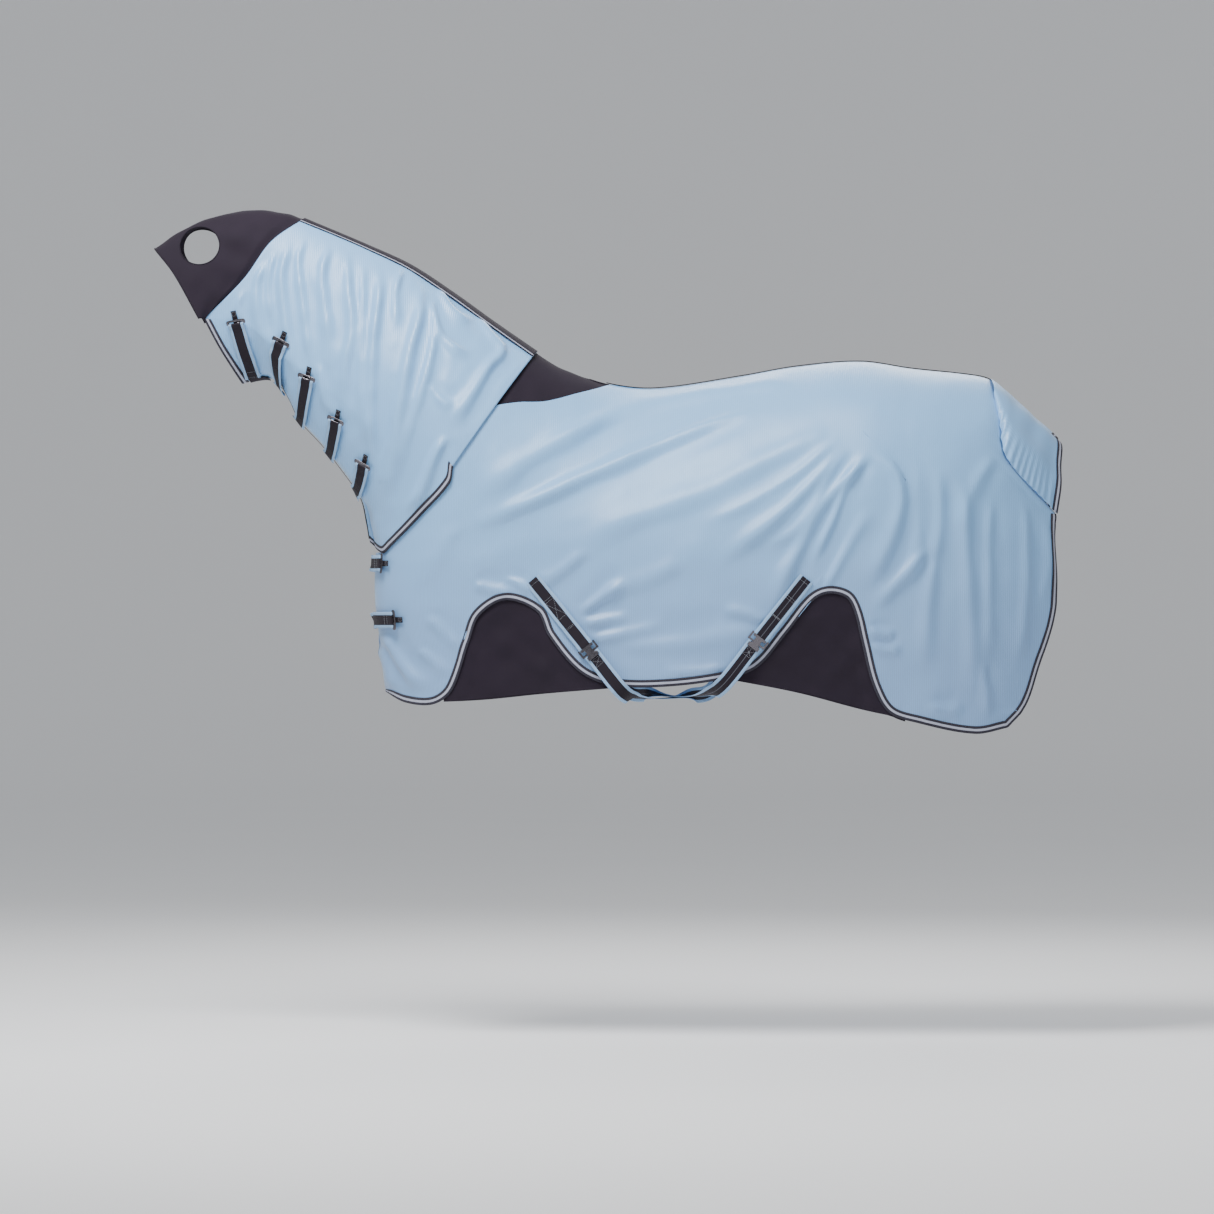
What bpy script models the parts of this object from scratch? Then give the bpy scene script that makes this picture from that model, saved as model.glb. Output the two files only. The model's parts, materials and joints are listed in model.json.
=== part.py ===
"""Fly sheet with neck cover and poll hood, in its worn shape, as its sewn panels, bindings, webbing and metal.

Frame: metres, +Z up. The origin is on the spine line at the withers, +X runs towards the tail,
and -Y is the wearer's left. Outlines are drawn in side view (x, z) and laid on one smooth form.
"""

import math

import bmesh
import bpy
from mathutils import Vector

# ---------------------------------------------------------------- driving dimensions (metres)
BACK_LENGTH = 1.35          # neck seam to tail edge, along the spine
SIDE_DROP = 0.78            # withers down to the belly hem
BARREL_WIDTH = 0.62         # across the widest part of the barrel
NECK_WIDTH = 0.23           # across the middle of the neck cover
HEAD_WIDTH = 0.21           # across the poll hood

CLOTH = 0.002               # thickness of a cloth panel
TAPE = 0.0012               # thickness of a binding tape
LAYER_GAP = 0.0012          # air between two layers that lie on each other
EDGE_GAP = 0.0015           # from the centre plane to a panel's edge, and between butted panels
SEAM_LAP = 0.012            # how far a panel reaches behind the one it is sewn to

BINDING_WIDTH = 0.018
SPINE_TAPE_WIDTH = 0.010
UNDER_NECK_BINDING_WIDTH = 0.012
WEB_WIDTH = 0.040           # straps and tabs
WEB_THICKNESS = 0.002
LOOP_TAB_WIDTH = 0.014      # narrow webbing under each wire loop
LOOP_TAB_LENGTH = 0.034
CATCH_LIFT = 0.0048         # narrow webbing, from the cloth's middle to its own
WIRE = 0.0016               # radius of the wire in a loop
LOOP_DEPTH = 0.012          # of a wire loop, along its strap
LOOP_OVERHANG = 0.004       # of a wire loop, past each edge of its strap

TAB_LIFT = 0.0092           # neck and chest webbing, from the cloth's middle to its own
STRAP_LIFT = 0.0105         # surcingle webbing, the same
SEWN_LIFT = 0.0075          # upper end of a surcingle's webbing, where it is sewn down
PLATE_DEPTH = 0.022         # slotted plate, along the strap
PLATE_THICKNESS = 0.0024
PLATE_RIM = 0.005           # metal round the plate's slot
HOOK_NECK_WIDTH = 0.018
HOOK_LENGTH = 0.034
HOOK_BAR_DEPTH = 0.007
SLIDER_DEPTH = 0.024        # adjuster on the far side's webbing, along the strap
SLIDER_WALL = 0.0016
SLIDER_CLEARANCE = 0.001
EAR_HOLE_LENGTH = 0.100
EAR_HOLE_HEIGHT = 0.096
EAR_BRIDGE = 0.070          # cloth left between the two ear holes

BIB_STAND_OFF = 0.0073      # the neck cover's rear edge from the body's form
NECK_TRIM_LIFT = 0.0046     # tapes on the neck cover, from the cloth's middle to their own
FLAP_LIFT = 0.0042          # tail flap, from the form
GUSSET_DEPTH = 0.0066       # gussets behind the body panels, middle to middle

# The outlines below are drawn for this size and graded to the one above.
PATTERN_BACK_LENGTH = 1.35
PATTERN_SIDE_DROP = 0.78
PATTERN_BARREL_WIDTH = 0.62

LEFT = -1
RIGHT = 1
SIDES = (("left", LEFT), ("right", RIGHT))

# ---------------------------------------------------------------- outlines in side view, (x, z)
TOP_POINTS = [(-0.643, 0.370), (-0.477, 0.300), (-0.378, 0.254), (-0.271, 0.184), (-0.178, 0.117),
              (-0.068, 0.041), (0.0, 0.0), (0.114, -0.040), (0.230, -0.050), (0.445, -0.019),
              (0.577, 0.004), (0.735, 0.016), (0.857, -0.001), (1.012, -0.018), (1.054, -0.029),
              (1.109, -0.074), (1.207, -0.165), (1.26, -0.22)]
NECK_SEAM_POINTS = [(-0.068, 0.041), (-0.165, -0.097), (-0.271, -0.249)]
BIB_POINTS = [(-0.271, -0.249), (-0.279, -0.288), (-0.350, -0.366), (-0.428, -0.443), (-0.446, -0.456),
              (-0.480, -0.429)]
WITHER_EDGE_POINTS = [(-0.165, -0.097), (-0.11, -0.089), (-0.034, -0.084), (0.114, -0.040)]
NECKLINE_POINTS = [(-0.466, -0.457), (-0.4405, -0.4528), (-0.350, -0.356), (-0.271, -0.249)]
SPINE_POINTS = [(0.114, -0.040), (0.230, -0.050), (0.445, -0.019), (0.577, 0.004), (0.735, 0.016),
                (0.857, -0.001), (1.012, -0.018), (1.054, -0.029)]
HEM_POINTS = [(-0.440, -0.798), (-0.387, -0.823), (-0.318, -0.826), (-0.273, -0.791), (-0.232, -0.675),
              (-0.206, -0.610), (-0.141, -0.572), (-0.063, -0.601), (-0.034, -0.660), (0.041, -0.747),
              (0.120, -0.779), (0.246, -0.782), (0.392, -0.763), (0.469, -0.735), (0.540, -0.653),
              (0.604, -0.574), (0.642, -0.556), (0.687, -0.566), (0.707, -0.600), (0.726, -0.677),
              (0.753, -0.781), (0.791, -0.845), (0.860, -0.870), (1.000, -0.897), (1.084, -0.883)]
FRONT_POINTS = [(-0.466, -0.457), (-0.469, -0.490), (-0.467, -0.586), (-0.453, -0.695), (-0.440, -0.798)]
FLAP_SEAM_POINTS = [(1.054, -0.029), (1.062, -0.085), (1.070, -0.150), (1.084, -0.230), (1.207, -0.360)]
REAR_POINTS = [(1.207, -0.360), (1.205, -0.424), (1.210, -0.528), (1.200, -0.624), (1.162, -0.736),
               (1.128, -0.832), (1.084, -0.883)]
SHOULDER_ARCH = (0.075, 0.395)   # shares of the hem
FLANK_ARCH = (0.535, 0.875)
SHOULDER_GUSSET_FOOT = [(-0.330, -0.824), (-0.194, -0.817), (-0.047, -0.802), (0.120, -0.788)]
FLANK_GUSSET_FOOT = [(0.400, -0.766), (0.569, -0.799), (0.726, -0.840), (0.830, -0.862)]

UNDER_NECK_POINTS = [(-0.796, -0.036), (-0.762, -0.026), (-0.728, -0.024), (-0.700, -0.042),
                     (-0.678, -0.077), (-0.655, -0.125), (-0.600, -0.186), (-0.557, -0.240), (-0.503, -0.319),
                     (-0.488, -0.380), (-0.480, -0.429)]
CREST_POINTS = TOP_POINTS[:6]
HOOD_SEAM_POINTS = [(-0.643, 0.370), (-0.722, 0.310), (-0.788, 0.217), (-0.885, 0.119)]
THROAT_POINTS = [(-0.885, 0.119), (-0.846, 0.045), (-0.796, -0.036)]
HOOD_TOP_POINTS = [(-1.011, 0.293), (-0.930, 0.345), (-0.840, 0.378), (-0.750, 0.388), (-0.643, 0.370)]
HOOD_FRONT_POINTS = [(-1.011, 0.293), (-0.960, 0.230), (-0.897, 0.118)]
EAR_HOLE_CENTRE = (-0.898, 0.300)

# Half-width of the barrel in plan, (x, y), without the rounding over the back and round the chest.
PLAN_POINTS = [(-0.52, 0.200), (-0.30, 0.222), (-0.10, 0.245), (0.15, 0.285), (0.45, 0.310),
               (0.75, 0.305), (0.95, 0.272), (1.10, 0.212), (1.24, 0.125)]
WITHER_ROUND = 0.45         # depth over which the back rounds into the side, at the withers
CROUP_ROUND = 0.30          # and at the croup
WITHER_SHARPNESS = 0.75     # 0.5 is an ellipse, more is a narrower ridge
CROUP_SHARPNESS = 0.50
CHEST_ROUND = 0.24          # depth over which the chest rounds into the side
CHEST_SHARPNESS = 0.42

# Tabs under the neck: lower end (x, z) and upper end (x, z) on the left, and how far round each is sewn,
# where 1 is the underside's middle. The first one's end is under the throat band.
NECK_TABS = [((-0.782, 0.0), (-0.803, 0.104), 0.905), ((-0.704, -0.045), (-0.695, 0.052), 1.035),
             ((-0.656, -0.128), (-0.628, -0.034), 1.035), ((-0.580, -0.215), (-0.556, -0.138), 1.035),
             ((-0.508, -0.310), (-0.490, -0.246), 1.035)]
CHEST_STRAPS = [("upper", -0.484, 0.024), ("lower", -0.622, 0.048)]   # name, height, reach back on the left
CHEST_STRAP_ROOT = 0.060    # how far back on the right a chest strap is sewn
SURCINGLE_LEFT = {"front": ((-0.075, -0.525), (0.055, -0.685)), "rear": ((0.590, -0.523), (0.480, -0.662))}
SURCINGLE_RIGHT = {"front": ((-0.060, -0.523), (0.112, -0.742)), "rear": ((0.590, -0.523), (0.418, -0.742))}
BELLY_LOW = -0.815          # lowest point of the crossed straps
STRAP_RUN_IN = 0.124        # straight webbing past each left hook, down to the hem
STRAP_RUN_OUT = 0.074       # and past the end of the right side's webbing
STRAP_CROSS_GAP = 0.0026    # from the crossing's middle to each strap's middle

COLOURS = {
    "mesh": ((0.38, 0.56, 0.75, 1.0), 0.45, 0.0),
    "stretch": ((0.028, 0.019, 0.034, 1.0), 0.70, 0.0),
    "binding": ((0.10, 0.09, 0.13, 1.0), 0.60, 0.0),
    "webbing": ((0.045, 0.038, 0.050, 1.0), 0.65, 0.0),
    "nickel": ((0.75, 0.75, 0.76, 1.0), 0.25, 1.0),
}


# ---------------------------------------------------------------- outlines and the form
class Outline:
    """A smooth line through points in side view. Several runs end to end keep a corner where they meet."""

    def __init__(self, *runs, grade_x=BACK_LENGTH / PATTERN_BACK_LENGTH, grade_z=SIDE_DROP / PATTERN_SIDE_DROP):
        self.marks = []
        self.spans = []
        for run in runs:
            points = [Vector((x * grade_x, z * grade_z)) for x, z in run]
            self.add_run(points)

    def add_run(self, points):
        start = self.marks[-1] if self.marks else 0.0
        marks = [start]
        for a, b in zip(points, points[1:]):
            marks.append(marks[-1] + (b - a).length)
        slopes = []
        for i in range(len(points)):
            low = max(i - 1, 0)
            high = min(i + 1, len(points) - 1)
            slopes.append((points[high] - points[low]) / (marks[high] - marks[low]))
        for i in range(len(points) - 1):
            self.spans.append((marks[i], marks[i + 1], points[i], points[i + 1], slopes[i], slopes[i + 1]))
        self.marks.extend(marks)

    def length(self):
        return self.marks[-1]

    def at(self, share):
        place = min(max(share, 0.0), 1.0) * self.length()
        for start, end, a, b, slope_a, slope_b in self.spans:
            if place <= end + 1e-12:
                break
        width = end - start
        t = (place - start) / width
        rise = t * t * (3.0 - 2.0 * t)
        return (a * (1.0 - rise) + b * rise + slope_a * (width * t * (1.0 - t) ** 2)
                - slope_b * (width * t * t * (1.0 - t)))

    def share_at(self, value, axis=0):
        """The share of the line where its x (axis 0) or z (axis 1) has a value. The line runs one way there."""
        low, high = 0.0, 1.0
        rising = self.at(1.0)[axis] > self.at(0.0)[axis]
        for _ in range(40):
            middle = 0.5 * (low + high)
            if (self.at(middle)[axis] < value) == rising:
                low = middle
            else:
                high = middle
        return 0.5 * (low + high)


WIDTH_GRADE = BARREL_WIDTH / PATTERN_BARREL_WIDTH
TOP = Outline(TOP_POINTS)
PLAN = Outline(PLAN_POINTS, grade_z=WIDTH_GRADE)
TOP_EDGE = Outline(NECKLINE_POINTS, NECK_SEAM_POINTS[::-1][:2], WITHER_EDGE_POINTS, SPINE_POINTS)
HEM = Outline(HEM_POINTS)
FRONT = Outline(FRONT_POINTS)
REAR = Outline(FLAP_SEAM_POINTS, REAR_POINTS)
CREST = Outline(CREST_POINTS)
UNDER_NECK = Outline(UNDER_NECK_POINTS)
NECK_FRONT = Outline(HOOD_SEAM_POINTS, THROAT_POINTS)
NECK_REAR = Outline(NECK_SEAM_POINTS, BIB_POINTS)
HOOD_TOP = Outline(HOOD_TOP_POINTS)
HOOD_FRONT = Outline(HOOD_FRONT_POINTS)
HOOD_REAR = Outline(HOOD_SEAM_POINTS)


def smooth(t):
    t = min(max(t, 0.0), 1.0)
    return t * t * (3.0 - 2.0 * t)


def eased(t, soft):
    """0 to 1, starting as a square over the first stretch, so that points crowd where a form rounds over."""
    raw = t * t / (2.0 * soft) if t < soft else t - 0.5 * soft
    return raw / (1.0 - 0.5 * soft)


def chest_front(z):
    """The foremost x of the barrel at a height: the chest's edge, and the neck's underside above it."""
    low_point = FRONT.at(1.0).y
    high_point = FRONT.at(0.0).y
    if z < low_point:
        return FRONT.at(1.0).x
    if z <= high_point:
        return FRONT.at(FRONT.share_at(z, 1)).x
    return FRONT.at(0.0).x


def half_width(x, z):
    """Half-width of the barrel's form at a place in side view."""
    width = PLAN.at(PLAN.share_at(x)).y
    back = smooth((x - TOP.at(0.4).x) / (BACK_LENGTH * 0.75))
    depth = WITHER_ROUND + (CROUP_ROUND - WITHER_ROUND) * back
    sharpness = WITHER_SHARPNESS + (CROUP_SHARPNESS - WITHER_SHARPNESS) * back
    drop = (TOP.at(TOP.share_at(x)).y - z) / depth
    over = 1.0 - (1.0 - min(max(drop, 0.0), 1.0)) ** 2
    reach = (x - chest_front(z)) / CHEST_ROUND
    chest = 1.0 - (1.0 - min(max(reach, 0.0), 1.0)) ** 2
    return max(width * over ** sharpness * chest ** CHEST_SHARPNESS, EDGE_GAP)


def on_body(x, z, side):
    return Vector((x, side * half_width(x, z), z))


def body_normal(x, z, side, step=0.004):
    across = (half_width(x + step, z) - half_width(x - step, z)) / (2.0 * step)
    down = (half_width(x, z + step) - half_width(x, z - step)) / (2.0 * step)
    return Vector((-across, side, -down)).normalized()


def coons(u, v, top, foot, front, rear):
    """A point inside four edge lines, from the points on them and their corners."""
    corners = ((1.0 - u) * (1.0 - v) * front[0] + u * (1.0 - v) * rear[0]
               + (1.0 - u) * v * front[2] + u * v * rear[2])
    return (1.0 - v) * top + v * foot + (1.0 - u) * front[1] + u * rear[1] - corners


def body_place(u, v):
    """Side-view place on the body panel: u from the chest to the tail, v from the top edge to the hem."""
    along = eased(u, 0.12)
    down = eased(v, 0.35)
    foot = HEM.at(along)
    share = (foot.x - HEM.at(0.0).x) / (HEM.at(1.0).x - HEM.at(0.0).x)
    start = TOP_EDGE.at(0.0).x
    top = TOP_EDGE.at(TOP_EDGE.share_at(start + share * (TOP_EDGE.at(1.0).x - start)))
    front = (FRONT.at(0.0), FRONT.at(down), FRONT.at(1.0))
    rear = (REAR.at(0.0), REAR.at(down), REAR.at(1.0))
    return coons(share, down, top, foot, front, rear)


def neck_point(u, v, side):
    """Point on the neck cover: u from the hood to the body, v from the crest (0) to the underside (1)."""
    if v > 1.0:
        v = 2.0 - v
        side = -side
    if v < 0.0:
        v = -v
        side = -side
    turn = 0.5 * (1.0 - math.cos(math.pi * v))
    front = (NECK_FRONT.at(0.0), NECK_FRONT.at(turn), NECK_FRONT.at(1.0))
    rear = (NECK_REAR.at(0.0), NECK_REAR.at(turn), NECK_REAR.at(1.0))
    place = coons(u, turn, CREST.at(u), UNDER_NECK.at(u), front, rear)
    half = 0.5 * NECK_WIDTH * (0.84 + 0.32 * math.sin(0.5 * math.pi * u)) * math.sin(math.pi * v)
    base = half_width(rear[1].x, rear[1].y) + BIB_STAND_OFF * min(4.0 * math.sin(math.pi * v), 1.0)
    share = smooth(u)
    return Vector((place.x, side * max((1.0 - share) * half + share * base, EDGE_GAP), place.y))


def hood_point(u, v, side):
    """Point on the poll hood: u from the brow to the neck seam, v from the top line down to the cheek."""
    if v < 0.0:
        v = -v
        side = -side
    turn = 1.0 - math.cos(0.5 * math.pi * v)
    front = (HOOD_FRONT.at(0.0), HOOD_FRONT.at(turn), HOOD_FRONT.at(1.0))
    rear = (HOOD_REAR.at(0.0), HOOD_REAR.at(turn), HOOD_REAR.at(1.0))
    foot = front[2].lerp(rear[2], u)
    place = coons(u, turn, HOOD_TOP.at(u), foot, front, rear)
    share = NECK_FRONT_HOOD_SHARE * turn
    seam_v = math.acos(1.0 - 2.0 * share) / math.pi
    seam_half = 0.5 * NECK_WIDTH * 0.84 * math.sin(math.pi * seam_v)
    brow_half = 0.5 * HEAD_WIDTH * math.sin(0.5 * math.pi * v) ** 0.8
    half = brow_half + (seam_half - brow_half) * smooth(u)
    return Vector((place.x, side * half, place.y))


NECK_FRONT_HOOD_SHARE = HOOD_REAR.length() / NECK_FRONT.length()


def flap_point(across, along):
    """Point on the tail flap: across from -1 (left) to 1 (right), along from the croup to the free edge."""
    side = LEFT if across < 0.0 else RIGHT
    turn = abs(across) * 0.5 * math.pi
    seam_end = FLAP_SEAM_SHARE
    start = FLAP_HINGE_SHARE
    seam = REAR.at(start + (seam_end - start) * along)
    crown_x = REAR.at(0.0).x + (FLAP_TIP_X - REAR.at(0.0).x) * along
    crown = TOP.at(TOP.share_at(crown_x))
    lean = math.sin(turn)
    fall = 1.0 - math.cos(turn)
    x = crown.x + (seam.x - crown.x) * fall + FLAP_BULGE * along * math.sin(2.0 * turn)
    z = crown.y + (seam.y - crown.y) * fall
    return Vector((x, side * (half_width(seam.x, seam.y) + CLOTH) * lean, z))


FLAP_SEAM_SHARE = Outline(FLAP_SEAM_POINTS).length() / REAR.length()
FLAP_HINGE_SHARE = 0.06
FLAP_TIP_X = 1.216 * BACK_LENGTH / PATTERN_BACK_LENGTH
FLAP_BULGE = 0.008
CREST_BINDING_V = 0.105     # how far the crest's binding reaches down each side, in turns of the neck cover
LAYER = CLOTH + LAYER_GAP
TAPE_LIFT = 0.5 * CLOTH + LAYER_GAP + 0.5 * TAPE


# ---------------------------------------------------------------- solids from grids
def material(name):
    found = bpy.data.materials.get(name)
    if found:
        return found
    colour, roughness, metallic = COLOURS[name]
    made = bpy.data.materials.new(name)
    made.use_nodes = True
    shader = made.node_tree.nodes["Principled BSDF"]
    shader.inputs["Base Color"].default_value = colour
    shader.inputs["Roughness"].default_value = roughness
    shader.inputs["Metallic"].default_value = metallic
    made.diffuse_color = colour
    return made


def add_object(name, mesh, finish):
    mesh.materials.append(material(finish))
    made = bpy.data.objects.new(name, mesh)
    bpy.context.scene.collection.objects.link(made)
    return made


def grid_normals(grid, outward):
    rows, columns = len(grid), len(grid[0])
    normals = []
    total = 0.0
    for i in range(rows):
        line = []
        for j in range(columns):
            along = grid[min(i + 1, rows - 1)][j] - grid[max(i - 1, 0)][j]
            across = grid[i][min(j + 1, columns - 1)] - grid[i][max(j - 1, 0)]
            line.append(along.cross(across).normalized())
            total += line[-1].dot(outward)
        normals.append(line)
    sign = 1.0 if total > 0.0 else -1.0
    return [[normal * sign for normal in line] for line in normals]


def cloth(name, grid, outward, finish, thickness=CLOTH, lift=0.0):
    """A closed solid from a grid of points: the grid's sheet, lifted along its normals, with a thickness."""
    rows, columns = len(grid), len(grid[0])
    normals = grid_normals(grid, outward)
    mesh = bpy.data.meshes.new(name)
    build = bmesh.new()
    skins = []
    for height in (lift + 0.5 * thickness, lift - 0.5 * thickness):
        skins.append([[build.verts.new(grid[i][j] + normals[i][j] * height) for j in range(columns)]
                      for i in range(rows)])
    for skin in skins:
        for i in range(rows - 1):
            for j in range(columns - 1):
                build.faces.new((skin[i][j], skin[i + 1][j], skin[i + 1][j + 1], skin[i][j + 1]))
    rim = [(i, 0) for i in range(rows)] + [(rows - 1, j) for j in range(1, columns)]
    rim += [(i, columns - 1) for i in range(rows - 2, -1, -1)] + [(0, j) for j in range(columns - 2, 0, -1)]
    for (a, b), (c, d) in zip(rim, rim[1:] + rim[:1]):
        build.faces.new((skins[0][a][b], skins[0][c][d], skins[1][c][d], skins[1][a][b]))
    bmesh.ops.recalc_face_normals(build, faces=build.faces)
    build.to_mesh(mesh)
    build.free()
    return add_object(name, mesh, finish)


def strip_grid(points, normals, low, high, columns=2):
    """Grid of a flat strip along points: it reaches from low to high sideways, square to path and normal."""
    grid = []
    last = len(points) - 1
    for i, (point, normal) in enumerate(zip(points, normals)):
        along = (points[min(i + 1, last)] - points[max(i - 1, 0)]).normalized()
        sideways = along.cross(normal).normalized()
        grid.append([point + sideways * (low + (high - low) * j / (columns - 1)) for j in range(columns)])
    return grid


def shares(count, start=0.0, end=1.0):
    return [start + (end - start) * i / (count - 1) for i in range(count)]


# ---------------------------------------------------------------- cloth panels
BODY_COLUMNS = 40
BODY_ROWS = 11
NECK_COLUMNS = 15
NECK_ROWS = 11


def body_panels():
    for word, side in SIDES:
        grid = []
        for u in shares(BODY_COLUMNS):
            places = [body_place(u, v) for v in shares(BODY_ROWS)]
            grid.append([on_body(place.x, place.y, side) for place in places])
        cloth("body_panel_" + word, grid, Vector((0, side, 0)), "mesh")


def neck_panels():
    for word, side in SIDES:
        grid = [[neck_point(u, v, side) for v in shares(NECK_ROWS, 0.006, 0.994)]
                for u in shares(NECK_COLUMNS)]
        cloth("neck_panel_" + word, grid, Vector((0, side, 0)), "mesh")


def gussets():
    for piece, arch, foot_points in (("shoulder_gusset_", SHOULDER_ARCH, SHOULDER_GUSSET_FOOT),
                                     ("flank_gusset_", FLANK_ARCH, FLANK_GUSSET_FOOT)):
        foot_line = Outline(foot_points)
        for word, side in SIDES:
            grid = []
            for share in shares(27):
                crown = HEM.at(arch[0] + (arch[1] - arch[0]) * share)
                foot = foot_line.at(foot_line.share_at(crown.x))
                foot.y = min(foot.y, crown.y - 0.5 * SEAM_LAP)
                crown = crown + Vector((0.0, SEAM_LAP))
                line = [crown.lerp(foot, t) for t in shares(5)]
                grid.append([on_body(place.x, place.y, side) for place in line])
            cloth(piece + word, grid, Vector((0, side, 0)), "stretch", lift=-GUSSET_DEPTH)


def wither_panel():
    """Saddle-shaped panel over the withers, between the neck seam and the body's top edge."""
    seam = Outline(NECK_SEAM_POINTS[:2])
    edge = Outline(WITHER_EDGE_POINTS)
    grid = []
    for share in shares(10, 0.03, 0.93):
        line = []
        top_x = seam.at(0.0).x + (edge.at(1.0).x - seam.at(0.0).x) * share
        crown = TOP.at(TOP.share_at(top_x))
        low = edge.at(share) + Vector((0.0, EDGE_GAP))
        for across in shares(13, -1.0, 1.0):
            side = LEFT if across < 0.0 else RIGHT
            place = crown.lerp(low, 1.0 - math.cos(0.5 * math.pi * abs(across)))
            point = on_body(place.x, place.y, side)
            if abs(across) < 1e-6:
                point.y = 0.0
            line.append(point)
        grid.append(line)
    cloth("wither_panel", grid, Vector((0, 0, 1)), "stretch", lift=LAYER)


def poll_hood():
    grid = [[hood_point(u, across, RIGHT) for across in shares(19, -1.0, 1.0)] for u in shares(12)]
    hood = cloth("poll_hood", grid, Vector((0, 0, 1)), "stretch", lift=2.0 * LAYER)
    grade_x = BACK_LENGTH / PATTERN_BACK_LENGTH
    grade_z = SIDE_DROP / PATTERN_SIDE_DROP
    for word, side in SIDES:
        low, high = sorted((side * 0.5 * EAR_BRIDGE, side * HEAD_WIDTH))
        cutter_mesh = bpy.data.meshes.new("ear_cutter_" + word)
        build = bmesh.new()
        bmesh.ops.create_cone(build, cap_ends=True, segments=16, radius1=0.5, radius2=0.5, depth=1.0)
        for vertex in build.verts:
            x, y, z = vertex.co
            vertex.co = Vector((EAR_HOLE_CENTRE[0] * grade_x + x * EAR_HOLE_LENGTH,
                                0.5 * (low + high) - z * (high - low),
                                EAR_HOLE_CENTRE[1] * grade_z + y * EAR_HOLE_HEIGHT))
        build.to_mesh(cutter_mesh)
        build.free()
        cutter = bpy.data.objects.new("ear_cutter_" + word, cutter_mesh)
        bpy.context.scene.collection.objects.link(cutter)
        cutter.hide_render = True
        cutter.display_type = "WIRE"
        cut = hood.modifiers.new("ear hole " + word, "BOOLEAN")
        cut.operation = "DIFFERENCE"
        cut.object = cutter


def tail_flap():
    grid = [[flap_point(across, along) for across in shares(15, -1.0, 1.0)] for along in shares(9, 0.04, 1.0)]
    flap = cloth("tail_flap", grid, Vector((0, 0, 1)), "mesh", lift=FLAP_LIFT)
    edge = [[flap_point(across, 1.0) for across in shares(25, -1.0, 1.0)]]
    step = BINDING_WIDTH / Outline(FLAP_SEAM_POINTS).length()
    edge.append([flap_point(across, 1.0 - step) for across in shares(25, -1.0, 1.0)])
    lift = FLAP_LIFT + TAPE_LIFT
    binding = cloth("tail_flap_binding", edge, Vector((0, 0, 1)), "binding", thickness=TAPE, lift=lift)
    croup = REAR.at(0.0)
    hinge_empty("tail_flap_hinge", Vector((croup.x, 0.0, croup.y)), (0, -1, 0), (flap, binding))


# ---------------------------------------------------------------- bindings and tapes
def spine_tape():
    points = []
    for x in shares(22, SPINE_POINTS[0][0], SPINE_POINTS[-1][0] - SPINE_TAPE_WIDTH):
        scaled = x * BACK_LENGTH / PATTERN_BACK_LENGTH
        points.append(Vector((scaled, 0.0, TOP.at(TOP.share_at(scaled)).y)))
    normals = [Vector((0, 0, 1))] * len(points)
    half = 0.5 * SPINE_TAPE_WIDTH
    grid = strip_grid(points, normals, -half, half)
    cloth("spine_tape", grid, Vector((0, 0, 1)), "binding", thickness=TAPE, lift=TAPE_LIFT + LAYER_GAP)


def edge_bindings():
    """One binding a side: down the rear edge, along the hem, over both arches and to the chest."""
    rear = [REAR.at(share) for share in shares(16, FLAP_SEAM_SHARE + 0.02, 1.0)]
    hem = [HEM.at(share) for share in shares(66, 1.0, 0.03)]
    places = rear + hem[1:]
    for word, side in SIDES:
        points = [on_body(place.x, place.y, side) for place in places]
        normals = [body_normal(place.x, place.y, side) for place in places]
        width = -side * BINDING_WIDTH
        grid = strip_grid(points, normals, min(width, 0.0), max(width, 0.0))
        lift = TAPE_LIFT + LAYER_GAP
        cloth("edge_binding_" + word, grid, Vector((0, side, 0)), "binding", thickness=TAPE, lift=lift)


def neck_bindings():
    crest = [[neck_point(u, v, RIGHT) for v in shares(7, -CREST_BINDING_V, CREST_BINDING_V)]
             for u in shares(16, 0.01, 0.97)]
    cloth("crest_binding", crest, Vector((0, 0, 1)), "binding", thickness=TAPE, lift=NECK_TRIM_LIFT)
    for word, side in SIDES:
        bib = NECK_BIB_V
        grid = [[neck_point(u, v, side) for u in (1.0 - BINDING_WIDTH / CREST.length(), 1.0)]
                for v in shares(24, bib + 0.002, 0.89)]
        cloth("bib_binding_" + word, grid, Vector((0, side, 0)), "binding", thickness=TAPE, lift=NECK_TRIM_LIFT)
        start = THROAT_V
        grid = [[neck_point(u, v, side) for u in (0.0, BINDING_WIDTH / CREST.length())]
                for v in shares(9, start + 0.03, 0.97)]
        cloth("throat_binding_" + word, grid, Vector((0, side, 0)), "binding", thickness=TAPE, lift=NECK_TRIM_LIFT)


def neck_v(share):
    return math.acos(1.0 - 2.0 * share) / math.pi


NECK_BIB_V = neck_v(Outline(NECK_SEAM_POINTS).length() / NECK_REAR.length())
THROAT_V = neck_v(NECK_FRONT_HOOD_SHARE)


def neck_normal(u, v, side, step=0.004):
    along = neck_point(u + step, v, side) - neck_point(u - step, v, side)
    around = neck_point(u, v + step, side) - neck_point(u, v - step, side)
    return along.cross(around).normalized() * side


def neck_place(x, z):
    """The (u, v) of a place in side view on the neck cover, by a coarse search and then finer ones."""
    best = (0.5, 0.8)
    reach = 0.5
    while reach > 1e-4:
        tries = []
        for i in range(-4, 5):
            for j in range(-4, 5):
                u = min(max(best[0] + reach * i / 4.0, 0.0), 1.0)
                v = min(max(best[1] + reach * j / 4.0, 0.0), 1.0)
                point = neck_point(u, v, LEFT)
                tries.append(((point.x - x) ** 2 + (point.z - z) ** 2, u, v))
        best = min(tries)[1:]
        reach *= 0.4
    return best


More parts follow.
